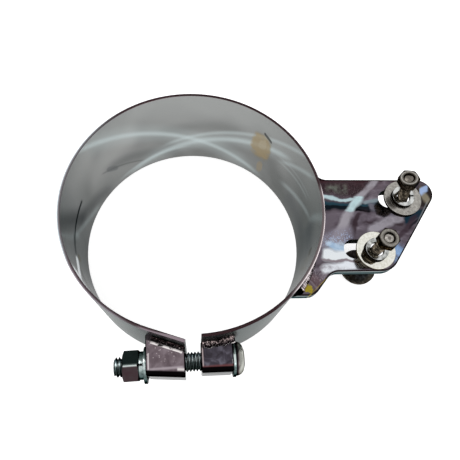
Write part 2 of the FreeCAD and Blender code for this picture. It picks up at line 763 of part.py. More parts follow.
# Ring that takes the weld bevel off the plate's edge against the band
def make_bevel_cutter(label, side):
    body = new_body(label)
    sketch = new_sketch(body, label + "_section", "XZ_Plane")
    wall = "<band_bore> / 2 + <band_wall>"
    level = side + "(<plate_thick> / 2)"
    root = side + "(<plate_thick> / 2 - <plate_bevel>)"
    clear = side + "(<plate_thick> / 2 + <plate_bevel>)"
    behind = "<band_bore> / 2"
    toe = wall + " + <plate_weld>"
    polygon(
        sketch,
        [(wall, root), (toe, level), (toe, clear), (behind, clear), (behind, root)],
    )
    revolve(body, sketch)
    return body


# Set of five pieces that stands loose in one slot
def make_fastener(name, start, along, aside, middle, lean, towards):
    """The bolt stands on its head on the ground, its nut still at its end."""
    tilt = math.radians(lean)
    heading = math.radians(towards)
    axis = Vector(
        math.sin(tilt) * math.cos(heading),
        math.sin(tilt) * math.sin(heading),
        math.cos(tilt),
    )
    in_slot = Vector(size(start) + size(along), middle + size(aside), 0)
    ground = -size("band_height") / 2
    head_corner = size("hex_flats") / 2 * float(HEX_CORNER) * HEX_BEVEL_START
    head_bottom = ground + head_corner * math.sin(tilt)
    under_head = in_slot + axis * (head_bottom / math.cos(tilt) + size("bolt_head_height"))
    turn = Rotation(Vector(0, 0, 1), axis)
    hex_turn = turn * Rotation(Vector(0, 0, 1), size("hex_turn"))

    def up_the_bolt(distance, about=turn):
        return Placement(under_head + axis * distance, about)

    def on_the_plate(height, thick):
        level = size("plate_thick") / 2 + height
        reach = (level + thick / 2) / axis.z
        centre = in_slot + axis * reach
        return Placement(Vector(centre.x, centre.y, level), Rotation())

    bolt = make_hex_bolt(name + "_bolt")
    bolt.Placement = up_the_bolt(0, hex_turn)
    lower = make_washer(name + "_lower_washer", "<washer_width>", "<washer_hole>", "<washer_thick>")
    lower.Placement = up_the_bolt(0)
    flat = make_washer(name + "_flat_washer", "<washer_width>", "<washer_hole>", "<washer_thick>")
    flat.Placement = on_the_plate(0, size("washer_thick"))
    lock = make_lock_washer(name + "_lock_washer", "<lock_width>", "<lock_hole> / 2", "<lock_thick>")
    lock.Placement = on_the_plate(size("washer_thick"), size("lock_thick"))
    nut = make_nut(name + "_nut", "<hex_flats>", "<nut_height>", "<bolt_size>")
    nut_foot = size("bolt_length") + size("nut_over_end") - size("nut_height")
    nut.Placement = up_the_bolt(nut_foot, hex_turn)
    return [bolt, lower, flat, lock, nut]


# Clamp: band, lugs and their beads
seat_form = make_seat()
pieces = [
    make_band(),
    make_lug("nut_lug", nut_end, "nut_lug_length", "nut_lug_outside", "nut_lug_turn", seat_form),
    make_lug("head_lug", half_gap, "head_lug_length", "head_lug_outside", "head_lug_turn", seat_form),
]
ledge = "<lug_height> / 2"
head_from = azimuth_on_band(half_gap + size("weld_inset"))
head_span = azimuth_on_band(head_end - size("weld_inset")) - head_from
for place, below in (("top", False), ("bottom", True)):
    pieces.append(make_straight_bead("nut_lug_%s_weld" % place, "<lug_weld>", ledge, below))
    pieces.append(
        make_round_bead("head_lug_%s_weld" % place, "<lug_weld>", ledge, head_from, head_span, below)
    )

# Bracket plate and its beads
pieces.append(make_plate(seat_form))
foot_angle = math.degrees(math.asin(size("foot_half") / band_outside)) - FOOT_BEAD_INSET
for place, below in (("top", False), ("bottom", True)):
    pieces.append(
        make_round_bead(
            "bracket_%s_weld" % place,
            "<plate_weld>",
            "<plate_thick> / 2",
            -foot_angle,
            2 * foot_angle,
            below,
            "<plate_bevel>",
        )
    )

# Closing bolt and what it carries
washer_thick = size("closing_washer_thick")
bolt = make_closing_bolt("closing_bolt")
bolt.Placement = on_closing_axis(head_end + washer_thick)
head_washer = make_washer(
    "closing_head_washer", "<closing_washer_width>", "<closing_washer_hole>", "<closing_washer_thick>"
)
head_washer.Placement = on_closing_axis(head_end)
flat_washer = make_washer(
    "closing_flat_washer", "<closing_washer_width>", "<closing_washer_hole>", "<closing_washer_thick>"
)
flat_washer.Placement = on_closing_axis(nut_end, -1)
lock_washer = make_lock_washer(
    "closing_lock_washer",
    "<closing_lock_width>",
    "<closing_bolt_size> / 2 + <lock_clearance>",
    "<closing_lock_thick>",
)
lock_washer.Placement = on_closing_axis(nut_end - washer_thick, -1)
nut = make_nut("closing_nut", "<closing_nut_flats>", "<closing_nut_height>", "<closing_bolt_size>")
nut.Placement = on_closing_axis(nut_end - washer_thick - size("closing_lock_thick"), -1)
pieces += [bolt, head_washer, flat_washer, lock_washer, nut]

# The two loose sets in the bracket's slots
pieces += make_fastener(
    "inboard", "inboard_slot_start", "inboard_along", "inboard_aside", -size("slot_spread"), 0.0, 0.0
)
pieces += make_fastener(
    "outboard",
    "outboard_slot_start",
    "outboard_along",
    "outboard_aside",
    size("slot_spread"),
    size("outboard_lean"),
    size("outboard_lean_towards"),
)

# Check, then write one file for each piece
doc.recompute()
for item in doc.Objects:
    if "Invalid" in item.State or "Error" in item.State:
        raise RuntimeError("failed feature: " + item.Name)
os.makedirs("parts", exist_ok=True)
for piece in pieces:
    shape = piece.Shape
    if shape.isNull() or not shape.isValid() or len(shape.Solids) != 1:
        raise RuntimeError("bad shape: " + piece.Label)
    box = shape.BoundBox
    print("%-26s %9.1f mm3  x %7.2f %7.2f  y %7.2f %7.2f  z %7.2f %7.2f" % (
        piece.Label, shape.Volume, box.XMin, box.XMax, box.YMin, box.YMax, box.ZMin, box.ZMax))
    shape.exportStep(os.path.join("parts", piece.Label + ".step"))
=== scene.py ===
import math

import bmesh
import bpy
from mathutils import Matrix, Vector


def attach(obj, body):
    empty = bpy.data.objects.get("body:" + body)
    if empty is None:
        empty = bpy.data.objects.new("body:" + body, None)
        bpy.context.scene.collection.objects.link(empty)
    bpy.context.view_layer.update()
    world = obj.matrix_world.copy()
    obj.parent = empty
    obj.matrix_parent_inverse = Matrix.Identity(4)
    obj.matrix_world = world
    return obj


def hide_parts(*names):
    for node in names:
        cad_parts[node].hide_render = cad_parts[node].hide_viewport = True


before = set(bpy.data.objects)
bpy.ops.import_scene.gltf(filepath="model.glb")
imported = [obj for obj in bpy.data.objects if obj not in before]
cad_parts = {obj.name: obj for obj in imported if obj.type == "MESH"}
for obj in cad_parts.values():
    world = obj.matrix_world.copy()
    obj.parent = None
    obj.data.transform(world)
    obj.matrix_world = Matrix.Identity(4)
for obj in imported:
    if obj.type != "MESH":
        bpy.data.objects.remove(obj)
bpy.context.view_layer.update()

# Clamp band: stainless strip, 62 mm wide and 1.5 mm thick, sheared, rolled round
# and welded to its lugs and bracket. The rolled face stays smooth, so the inside
# is mid grey, and the light it gathers is painted on it in soft crossing lines.
BAND_RIM_DARK = "#3b2a2d"
BAND_RIM_LIGHT = "#c3ced3"
BAND_INSIDE = "#888988"
BAND_INSIDE_DARK = "#7e7f7e"
BAND_INSIDE_LIGHT = "#929392"
BAND_OUTSIDE = "#7d8583"
GLOW = "#c4cfd0"
HEAT_STAIN = "#a39170"
SCRATCH_AND_REFLECTED_LINE = "#26292a"
STAIN_FADE = 0.22
DRIFT = (0.02, 2.0, 0.6)


def from_hex(code):
    """Linear colour of an sRGB hex value."""
    shades = [int(code[i:i + 2], 16) / 255 for i in (1, 3, 5)]
    return [s / 12.92 if s <= 0.04045 else ((s + 0.055) / 1.055) ** 2.4 for s in shades] + [1.0]


def add_node(tree, kind, inputs=None, stops=None, **settings):
    """Add one node with its settings, links and, for a ramp, its stops. A node given
    as an input stands for its first output."""
    node = tree.nodes.new("ShaderNode" + kind)
    for name, value in settings.items():
        setattr(node, name, value)
    for name, value in (inputs or {}).items():
        if isinstance(value, bpy.types.Node):
            value = value.outputs[0]
        if isinstance(value, bpy.types.NodeSocket):
            tree.links.new(value, node.inputs[name])
        else:
            node.inputs[name].default_value = value
    for index, (place, code) in enumerate(stops or []):
        points = node.color_ramp.elements
        point = points[index] if index < 2 else points.new(place)
        point.position = place
        point.color = from_hex(code)
    return node


def new_finish(name, roughness, edge_tint="#ffffff"):
    """A metal, its tree, its place on the object in millimetres, and its facing."""
    material = bpy.data.materials.new(name)
    material.use_nodes = True
    tree = material.node_tree
    shader = tree.nodes["Principled BSDF"]
    shader.inputs["Metallic"].default_value = 1.0
    shader.inputs["Roughness"].default_value = roughness
    shader.inputs["Specular Tint"].default_value = from_hex(edge_tint)
    place = add_node(tree, "TexCoord")
    in_mm = add_node(tree, "Mapping", {"Vector": place.outputs["Object"], "Scale": (1000, 1000, 1000)})
    return material, tree, shader, in_mm.outputs["Vector"], place.outputs["Normal"]


def streak(tree, along, across, centre, slope, width, span, soft, bend=0.0):
    """1 along a curve on a surface, fading to 0 at its width and past its span."""
    run = add_node(tree, "Math", {0: along, 1: centre[0]}, operation="SUBTRACT")
    lean = add_node(tree, "Math", {0: run, 1: bend, 2: slope}, operation="MULTIPLY_ADD")
    line = add_node(tree, "Math", {0: run, 1: lean, 2: centre[1]}, operation="MULTIPLY_ADD")
    away = add_node(tree, "Math", {0: across, 1: line}, operation="SUBTRACT")
    away = add_node(tree, "Math", {0: away}, operation="ABSOLUTE")
    share = 1.0
    for reading, near, far in (
        (away, 0.0, width),
        (along, span[0], span[0] - soft),
        (along, span[1], span[1] + soft),
    ):
        fade = add_node(
            tree, "MapRange", {0: reading, 1: near, 2: far, 3: 1.0, 4: 0.0}, interpolation_type="SMOOTHSTEP",
        )
        share = add_node(tree, "Math", {0: fade, 1: share}, operation="MULTIPLY")
    return share


def blend_colour(tree, factor, below, above, amount=1.0):
    """Lay one colour over another where the factor is 1."""
    if amount < 1.0:
        factor = add_node(tree, "Math", {0: factor, 1: amount}, operation="MULTIPLY")
    mix = add_node(tree, "Mix", {0: factor, 6: below, 7: above}, data_type="RGBA")
    return mix.outputs[2]


def lay_streaks(tree, tone, rows, crisp=None):
    """Lay streaks over a tone. A row has its two directions on the surface, then
    what streak asks for, its colour and its amount."""
    for axes, *shape, code, amount in rows:
        mark = streak(tree, *axes, *shape)
        if crisp:
            mark = add_node(tree, "MapRange", {0: mark, 1: crisp[0], 2: crisp[1]})
        tone = blend_colour(tree, mark, tone, from_hex(code), amount)
    return tone


def cloudy_tone(tree, place, stops, scale, detail, distortion=0.0):
    """Tones that drift over the surface with a noise."""
    noise = {"Vector": place, "Scale": scale, "Detail": detail, "Distortion": distortion}
    cloud = add_node(tree, "TexNoise", noise)
    return add_node(tree, "ValToRGB", {"Fac": cloud}, stops=stops).outputs["Color"]


def add_grain(tree, shader, place, scale, detail, strength, distance):
    """Make the surface uneven by a noise, as high as the distance in metres."""
    noise = add_node(tree, "TexNoise", {"Vector": place, "Scale": scale, "Detail": detail})
    bump = {"Height": noise, "Strength": strength, "Distance": distance}
    tree.links.new(add_node(tree, "Bump", bump).outputs["Normal"], shader.inputs["Normal"])


def off_axis(tree, place, across=(1, 1, 0)):
    """Distance from an axis through the origin."""
    flat = add_node(tree, "VectorMath", {0: place, 1: across}, operation="MULTIPLY")
    return add_node(tree, "VectorMath", {0: flat}, operation="LENGTH").outputs["Value"]


# Rolled 304 stainless: a smooth mill face, satin to the eye and a little soft in
# what it mirrors. Its tones drift over some 50 mm, and rolling lines run round it.
rolled, tree, shader, in_mm, facing = new_finish("rolled_stainless_strip", 0.24, "#8a8d8d")
spot = add_node(tree, "SeparateXYZ", {"Vector": in_mm})
azimuth = add_node(tree, "Math", {0: spot.outputs[1], 1: spot.outputs[0]}, operation="ARCTAN2")
azimuth = add_node(tree, "Math", {0: azimuth}, operation="DEGREES")
turned = add_node(tree, "Mapping", {"Vector": in_mm, "Rotation": (0, 0, math.pi)})
turned = add_node(tree, "SeparateXYZ", {"Vector": turned.outputs["Vector"]})
left_azimuth = add_node(tree, "Math", {0: turned.outputs[1], 1: turned.outputs[0]}, operation="ARCTAN2")
left_azimuth = add_node(tree, "Math", {0: left_azimuth}, operation="DEGREES")
height = spot.outputs[2]
inside_stops = [(0.36, BAND_INSIDE_DARK), (0.64, BAND_INSIDE_LIGHT), (0.5, BAND_INSIDE)]
inside = cloudy_tone(tree, in_mm, inside_stops, *DRIFT)
# Painted light: the inside is lighter towards its top
top_fade = add_node(
    tree, "MapRange", {0: height, 1: -2.0, 2: 24.0, 3: 0.0, 4: 0.6}, interpolation_type="SMOOTHSTEP",
)
inside = blend_colour(tree, top_fade, inside, from_hex("#999b9a"))

# Painted light and shade: soft light and dark reaches of the inside, where it gathers the room's light.
# Places and sizes are in degrees round the band and millimetres up it.
right, left = (azimuth, height), (left_azimuth, height)
inside = lay_streaks(tree, inside, (
    (right, (158.0, 19.0), 0.0, 20.0, (152.0, 167.0), 7.0, "#a4a4a3", 0.55),
    (right, (138.0, 2.0), -0.3, 17.0, (126.0, 152.0), 9.0, "#a6a6a5", 0.6),
    (left, (4.0, 0.0), 0.0, 60.0, (-6.0, 40.0), 14.0, "#a3a3a4", 0.5),
    ((height, left_azimuth), (10.0, 0.5), 0.45, 9.0, (-8.0, 30.0), 9.0, "#626263", 0.7),
    (right, (162.0, -16.0), 0.6, 11.0, (148.0, 170.0), 9.0, "#666668", 0.5),
    (right, (120.0, -15.0), 0.42, 8.0, (106.0, 136.0), 12.0, "#686a6a", 0.45),
    (right, (86.0, 3.0), -0.2, 9.0, (72.0, 104.0), 14.0, "#747675", 0.5),
    (right, (4.0, -16.0), 0.0, 14.0, (-12.0, 22.0), 9.0, "#6c6d70", 0.45),
    (right, (-9.0, 2.0), 0.0, 21.0, (-14.0, -3.0), 6.0, "#66696e", 0.5),
    (right, (-26.0, 4.0), 0.0, 22.0, (-34.0, -21.0), 6.0, "#7d7a6e", 0.5),
    (right, (-42.0, 0.0), 0.0, 40.0, (-60.0, -36.0), 8.0, "#4f4f50", 0.8),
    (left, (48.0, 0.0), 0.0, 40.0, (40.0, 70.0), 8.0, "#5b5e5d", 0.6),
    # Painted lines of gathered light, the long ones each with a wide faint one round it
    (right, (100.0, -5.3), 0.549, 3.8, (58.0, 149.0), 14.0, 0.0025, GLOW, 0.5),
    (right, (100.0, -5.3), 0.549, 13.0, (66.0, 140.0), 18.0, 0.0025, GLOW, 0.25),
    (right, (75.0, -7.2), -0.457, 4.2, (40.0, 122.0), 12.0, 0.0012, GLOW, 0.5),
    (right, (75.0, -7.2), -0.457, 12.0, (48.0, 112.0), 14.0, 0.0012, GLOW, 0.22),
    (right, (61.7, 6.8), -0.563, 3.0, (30.0, 98.0), 12.0, 0.0023, GLOW, 0.36),
    (right, (25.0, 17.0), -0.95, 3.4, (18.0, 32.0), 8.0, GLOW, 0.36),
    (right, (25.0, 6.2), -0.21, 1.6, (16.0, 34.0), 8.0, GLOW, 0.22),
    (right, (24.0, 10.4), -0.18, 1.3, (14.0, 36.0), 8.0, GLOW, 0.15),
    (right, (16.0, -3.4), -0.6, 3.8, (8.0, 26.0), 10.0, 0.004, GLOW, 0.34),
    (right, (-3.0, 19.0), -2.4, 9.0, (-9.0, -1.5), 5.0, GLOW, 0.36),
    (left, (8.5, 8.3), 2.8, 9.0, (3.0, 16.0), 3.0, 0.1, GLOW, 0.26),
    (left, (-8.3, -17.0), 1.0, 4.6, (-20.0, 3.0), 6.0, 0.022, GLOW, 0.26),
    (right, (113.0, -22.5), -0.2, 2.4, (98.0, 130.0), 10.0, GLOW, 0.3),
    # A painted dark reflection line at mid height on the left that widens towards the
    # lug, and a faint dark line under the smudge
    (left, (5.0, 1.2), 0.12, 2.0, (-13.0, 22.0), 2.0, 0.004, SCRATCH_AND_REFLECTED_LINE, 0.85),
    (left, (16.0, 2.2), 0.02, 4.0, (8.0, 30.0), 6.0, "#3a3b3d", 0.6),
    (left, (30.0, 1.0), -0.1, 5.5, (21.0, 44.0), 5.0, SCRATCH_AND_REFLECTED_LINE, 0.85),
    (right, (133.0, -13.6), 0.65, 1.3, (122.0, 145.0), 3.0, SCRATCH_AND_REFLECTED_LINE, 0.3),
))

# Above that line the left wall glares white where it catches the window's light
glare = 0.0
for shape in (
    ((26.0, 10.0), 1.3, 5.0, (19.0, 34.0), 5.0, 0.05),
    ((38.0, 25.0), 0.0, 9.0, (32.0, 54.0), 6.0),
):
    patch = streak(tree, *left, *shape)
    glare = add_node(tree, "Math", {0: patch, 1: glare}, operation="MAXIMUM")
glare = add_node(tree, "MapRange", {0: glare, 1: 0.1, 2: 0.7, 3: 0.0, 4: 0.95})
inside = blend_colour(tree, glare, inside, from_hex("#e3eff3"))

# Tan stain with a run below it, spots of the same brown, a short deep scratch
# and a grey smudge. Noise at 4 mm makes their outlines ragged.
ragged = add_node(tree, "TexNoise", {"Vector": in_mm, "Scale": 0.26, "Detail": 4.0})
ragged = add_node(tree, "MapRange", {0: ragged, 1: 0.3, 2: 0.7, 3: 0.45, 4: 1.0})
for axes, *shape, start, code, amount in (
    (right, (51.0, 3.5), 0.0, 19.0, (49.5, 52.5), 7.0, 0.12, "#7f745b", 0.5),
    (right, (51.6, 3.0), 0.0, 18.0, (49.5, 53.5), 7.0, 0.18, HEAT_STAIN, 0.55),
    (right, (50.6, 6.0), 0.0, 11.0, (50.0, 51.2), 3.5, 0.3, "#a8a08e", 0.5),
    (right, (49.2, -17.0), 0.0, 11.0, (48.8, 49.6), 2.6, 0.2, HEAT_STAIN, 0.4),
    (right, (48.6, 15.4), 0.7, 2.0, (46.4, 50.4), 1.2, 0.16, SCRATCH_AND_REFLECTED_LINE, 0.7),
    (right, (139.6, -9.0), 0.9, 4.0, (137.5, 141.5), 2.2, 0.1, "#67696b", 0.5),
    (right, (-17.5, 10.0), 0.0, 5.0, (-18.3, -16.7), 1.8, 0.1, "#4c4738", 0.8),
    (right, (-24.0, 2.0), -3.2, 5.0, (-27.0, -21.0), 2.0, 0.1, "#77705a", 0.5),
    (left, (15.0, -4.5), 0.0, 4.5, (14.2, 15.8), 1.6, 0.1, "#7b7145", 0.65),
):
    mark = streak(tree, *axes, *shape)
    mark = add_node(tree, "Math", {0: mark, 1: ragged}, operation="MULTIPLY")
    mark = add_node(tree, "MapRange", {0: mark, 1: start, 2: start + STAIN_FADE})
    inside = blend_colour(tree, mark, inside, from_hex(code), amount)

outwards = add_node(tree, "VectorMath", {0: facing, 1: in_mm}, operation="DOT_PRODUCT").outputs["Value"]
outside_share = add_node(tree, "MapRange", {0: outwards, 1: -5.0, 2: 5.0})
outer_tone = cloudy_tone(tree, in_mm, [(0.35, "#6b7371"), (0.65, "#8f9795"), (0.5, BAND_OUTSIDE)], *DRIFT)

# Painted reflection and shade over the lugs, where the outside mirrors their tops:
# black, under a strip of lilac on the nut's side and fine spatter from the weld,
# painted light as glints, on the head's side, in drops of some 0.5 mm that lie 0.9 mm apart
spatter = add_node(tree, "TexVoronoi", {"Vector": in_mm, "Scale": 1.1})
spatter = add_node(
    tree, "MapRange", {0: spatter.outputs["Distance"], 1: 0.1, 2: 0.4, 3: 1.0, 4: 0.0},
)
nut_side, head_side = (-108.0, -94.0), (-86.0, -73.5)
for middle, width, span, soft, spotted, code, amount in (
    (12.0, 16.0, nut_side, 3.0, False, "#1b1618", 1.15),
    (30.0, 7.0, nut_side, 3.0, False, "#8d8088", 1.4),
    (13.0, 17.0, head_side, 3.0, False, "#1b1517", 1.15),
    (26.5, 5.0, head_side, 2.0, True, "#c9b9b8", 1.0),
):
    shadow = streak(tree, *right, (0.0, middle), 0.0, width, span, soft)
    shadow = add_node(tree, "Math", {0: shadow, 1: amount}, operation="MULTIPLY", use_clamp=True)
    if spotted:
        shadow = add_node(tree, "Math", {0: shadow, 1: spatter}, operation="MULTIPLY")
    outer_tone = blend_colour(tree, shadow, outer_tone, from_hex(code))
skin = blend_colour(tree, outside_share, inside, outer_tone)

# The glare belongs to the inside only, where it takes the place of the mirror
shown = add_node(tree, "Math", {0: 1.0, 1: outside_share}, operation="SUBTRACT")
glare = add_node(tree, "Math", {0: glare, 1: shown}, operation="MULTIPLY")
bare = add_node(tree, "Math", {0: 1.0, 1: glare}, operation="SUBTRACT")
tree.links.new(bare.outputs[0], shader.inputs["Metallic"])

# The rim is sheared. Painted light and shade on it: lit on the left and at the front right, dark at the back
upright = add_node(tree, "SeparateXYZ", {"Vector": facing})
rim = add_node(tree, "Math", {0: upright.outputs[2]}, operation="ABSOLUTE")
rim = add_node(tree, "MapRange", {0: rim, 1: 0.45, 2: 0.6})
rim_tone = from_hex("#5a5053")
for along, span, soft, code, amount in (
    (left_azimuth, (-48.0, 20.0), 16.0, BAND_RIM_LIGHT, 0.9),
    (left_azimuth, (34.0, 56.0), 10.0, "#98929a", 0.9),
    (azimuth, (60.0, 124.0), 20.0, "#2c2326", 0.9),
    (azimuth, (-42.0, 4.0), 6.0, "#efe4e6", 0.95),
    (azimuth, (-110.0, -94.0), 4.0, "#9a8c94", 0.9),
    (azimuth, (-86.0, -56.0), 4.0, "#332023", 0.9),
):
    lit = streak(tree, along, along, (0.0, 0.0), 1.0, 1.0, span, soft)
    rim_tone = blend_colour(tree, lit, rim_tone, from_hex(code), amount)
# A dark line is painted along the rim's inner half
inner_half = add_node(tree, "MapRange", {0: off_axis(tree, in_mm), 1: 64.3, 2: 64.7, 3: 1.0, 4: 0.0})
rim_tone = blend_colour(tree, inner_half, rim_tone, from_hex(BAND_RIM_DARK), 0.85)
skin = blend_colour(tree, rim, skin, rim_tone)
tree.links.new(skin, shader.inputs["Base Color"])

# Rolling lines are some 0.05 mm apart, drawn at 0.5 mm so that they show
rolling = add_node(tree, "Mapping", {"Vector": in_mm, "Scale": (0.03, 0.03, 2.0)})
add_grain(tree, shader, rolling.outputs["Vector"], 1.0, 3.0, 0.05, 0.0001)
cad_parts["clamp_band"].data.materials[0] = rolled

# Lugs: blocks of steel with rounded outer corners, drilled for the closing bolt
# and chrome plated. Their colour is a painted reflection: a bright plated corner
# shows the room as a dark band with a light one under it, and the top mirrors it
# in dull lilac.
LUG_TOP_NUT = "#7a6d73"
LUG_TOP_HEAD = "#4b4750"
LUG_CORNER_REFLECTION = "#0a0809"
LUG_GRAIN = (0.25, 4.0, 0.8)

# Chrome over ground steel: a mirror with clouds some 4 mm across, and a polish that
# waves over 5 mm
chrome, tree, shader, in_mm, facing = new_finish("bright_chrome_on_lugs", 0.09, "#343a3a")
spot = add_node(tree, "SeparateXYZ", {"Vector": in_mm})
x, y, z = spot.outputs
tilt = add_node(tree, "SeparateXYZ", {"Vector": facing})
nut_top = cloudy_tone(tree, in_mm, [(0.3, "#65585e"), (0.7, "#8d8087"), (0.5, LUG_TOP_NUT)], *LUG_GRAIN)
head_top = cloudy_tone(tree, in_mm, [(0.35, "#38343a"), (0.68, "#6d6a75"), (0.52, LUG_TOP_HEAD)], *LUG_GRAIN)

# Painted highlights and dark reflection lines on the tops, along the front edge and the washer's side
nut_top = lay_streaks(tree, nut_top, (
    ((x, y), (-13.0, -75.9), 0.045, 1.0, (-20.0, -6.0), 1.5, "#b9adb4", 0.8),
    ((x, y), (-13.0, -77.6), 0.045, 1.3, (-20.0, -6.0), 1.5, "#56494f", 0.7),
    ((y, x), (-72.5, -21.4), -0.05, 0.6, (-76.0, -69.5), 0.8, "#f3e8ea", 0.85),
    ((x, y), (-6.4, -76.6), -0.05, 1.1, (-7.6, -5.0), 0.8, "#f7f0f0", 0.9),
))
head_top = lay_streaks(tree, head_top, (
    ((x, y), (11.0, -75.7), 0.045, 1.2, (2.0, 20.0), 2.0, "#7a4543", 0.8),
    ((y, x), (-69.0, 3.6), -0.05, 0.6, (-75.0, -66.0), 1.0, "#d9c4c4", 0.7),
    ((y, x), (-73.6, 18.2), -0.05, 0.9, (-74.4, -72.9), 0.5, "#f3e9e6", 0.8),
))

# Specks of spatter from the weld, painted light as glints, 0.3 mm across and drawn at 0.5 mm
specks = add_node(tree, "TexVoronoi", {"Vector": in_mm, "Scale": 0.75})
specks = add_node(tree, "MapRange", {0: specks.outputs["Distance"], 1: 0.12, 2: 0.24, 3: 1.0, 4: 0.0})
near_bead = add_node(tree, "MapRange", {0: y, 1: -74.5, 2: -70.5, 3: 0.0, 4: 0.55})
specks = add_node(tree, "Math", {0: specks, 1: near_bead}, operation="MULTIPLY")
nut_top = blend_colour(tree, specks, nut_top, from_hex("#e6dadd"))

# Painted reflection by facing: the top, the outer face in bands of light and dark down it, the dark ends and
# the black corner between top and outer face
side = add_node(tree, "MapRange", {0: x, 1: -1.0, 2: 1.0})
top = blend_colour(tree, side, nut_top, head_top)
down = add_node(tree, "MapRange", {0: z, 1: 13.0, 2: -13.0})
outer_face = add_node(
    tree, "ValToRGB", {"Fac": down},
    stops=[(0.0, "#c3cccb"), (1.0, "#c9d2d0"), (0.22, "#97a2a0"), (0.45, "#5d6765"), (0.8, "#48504e")],
).outputs["Color"]
end_face = cloudy_tone(tree, in_mm, [(0.0, "#171214"), (1.0, "#4a3a3e")], *LUG_GRAIN)
across = add_node(tree, "Math", {0: tilt.outputs[0]}, operation="ABSOLUTE")
at_end = add_node(tree, "MapRange", {0: across, 1: 0.75, 2: 0.95})
wall = blend_colour(tree, at_end, outer_face, end_face)
corner = add_node(tree, "MapRange", {0: tilt.outputs[2], 1: 0.04, 2: 0.16})
wall = blend_colour(tree, corner, wall, from_hex(LUG_CORNER_REFLECTION))
level = add_node(tree, "MapRange", {0: tilt.outputs[2], 1: 0.95, 2: 0.99})
skin = blend_colour(tree, level, wall, top)
tree.links.new(skin, shader.inputs["Base Color"])
add_grain(tree, shader, in_mm, 0.2, 2.0, 0.12, 0.0004)
for name in ("nut_lug", "head_lug"):
    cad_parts[name].data.materials[0] = chrome

# Weld beads: run by hand along the lugs and above and below the bracket's foot,
# then plated with the rest. Each one is a row of overlapping ripples with a toe
# painted as a bright highlight where it meets the plate.
BAND_RADIUS = 0.065
LUG_BEAD = 0.0028
LUG_LEDGE = 0.013
PLATE_BEAD = 0.004
PLATE_LEDGE = 0.003175
RIPPLE_PITCH = 0.0011
WELD_BEVEL = 0.0015
EMBED = 0.0002
STEPS_A_RIPPLE = 6
BEAD_SMOOTH = math.radians(60)


def bead_outline(bm, leg, wall, ledge, sunk):
    """Rounded section of a bead, its back on the wall and its foot on the ledge."""
    start = bm.verts.new((wall - EMBED, 0.0, ledge - sunk))
    rim = [(1.0, 0.0), (0.86, 0.2), (0.66, 0.4), (0.4, 0.66), (0.2, 0.86), (0.0, 1.0)]
    verts = [start] + [bm.verts.new((wall + leg * a, 0.0, ledge + leg * b)) for a, b in rim]
    return bm.faces.new(verts)


def ripple(bm, leg, wall, ledge, distance):
    """Swell and sink the bead along its run."""
    for vert in bm.verts:
        run, out = distance(vert.co)
        phase = run / RIPPLE_PITCH * 2 * math.pi
        swell = 1.0 + 0.10 * abs(math.sin(phase / 2)) + 0.05 * math.sin(phase * 0.31 + 1.0)
        wander = 0.04 * leg * math.sin(phase * 0.17)
        if abs(vert.co.z) > ledge + 0.05 * leg:
            vert.co.z = math.copysign(ledge + (abs(vert.co.z) - ledge) * swell * 0.93, vert.co.z)
        if out > wall + 0.05 * leg:
            flat = Vector((vert.co.x, vert.co.y, 0.0))
            grown = wall + (out - wall) * swell * 0.93 + wander
            vert.co += flat.normalized() * (grown - out)


def rotate(bm, angle, axis="Z"):
    """Turn a whole shape about the origin."""
    bmesh.ops.rotate(bm, verts=bm.verts, cent=(0, 0, 0), matrix=Matrix.Rotation(angle, 3, axis))


def make_piece(bm, name, material, body, angle=math.radians(32)):
    """Turn a finished bmesh into a piece that rides on its body."""
    bmesh.ops.recalc_face_normals(bm, faces=bm.faces)
    for face in bm.faces:
        face.smooth = True
    for edge in bm.edges:
        edge.smooth = edge.calc_face_angle(0.0) < angle
    mesh = bpy.data.meshes.new(name)
    bm.to_mesh(mesh)
    bm.free()
    mesh.materials.append(material)
    piece = bpy.data.objects.new(name, mesh)
    bpy.context.scene.collection.objects.link(piece)
    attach(piece, body)
    return piece


# Weld metal under the same chrome: glossy, with painted shade in the pits between
# its ripples, which lie 1.1 mm apart, and painted highlights on their tips
weld, tree, shader, in_mm, facing = new_finish("plated_weld_bead", 0.12, "#6a6668")
spot = add_node(tree, "SeparateXYZ", {"Vector": in_mm})
over = add_node(tree, "Math", {0: spot.outputs[2]}, operation="ABSOLUTE")
pits = add_node(tree, "TexNoise", {"Vector": in_mm, "Scale": 0.9, "Detail": 4.0, "Distortion": 1.8})
lug_bead = add_node(
    tree, "ValToRGB", {"Fac": pits},
    stops=[(0.5, "#0a0809"), (0.74, "#f6ecea"), (0.6, "#1c1719"), (0.66, "#64565a")],
).outputs["Color"]
# Painted highlights: tips along a lug's bead catch the light at its upper edge
crest = add_node(tree, "MapRange", {0: over, 1: 14.2, 2: 15.6})
bright_pits = add_node(tree, "MapRange", {0: pits, 1: 0.5, 2: 0.58})
crest = add_node(tree, "Math", {0: crest, 1: bright_pits}, operation="MULTIPLY")
lug_bead = blend_colour(tree, crest, lug_bead, from_hex("#e3cdcb"), 0.8)
# The toe is a thin painted highlight line, where the melt has wetted the lug's top
toe = add_node(tree, "MapRange", {0: over, 1: 13.12, 2: 13.5, 3: 1.0, 4: 0.0})
broken = add_node(tree, "TexNoise", {"Vector": in_mm, "Scale": 0.5, "Detail": 3.0})
broken = add_node(tree, "MapRange", {0: broken, 1: 0.32, 2: 0.5})
toe = add_node(tree, "Math", {0: toe, 1: broken}, operation="MULTIPLY")
lug_bead = blend_colour(tree, toe, lug_bead, from_hex("#fbf4f3"))
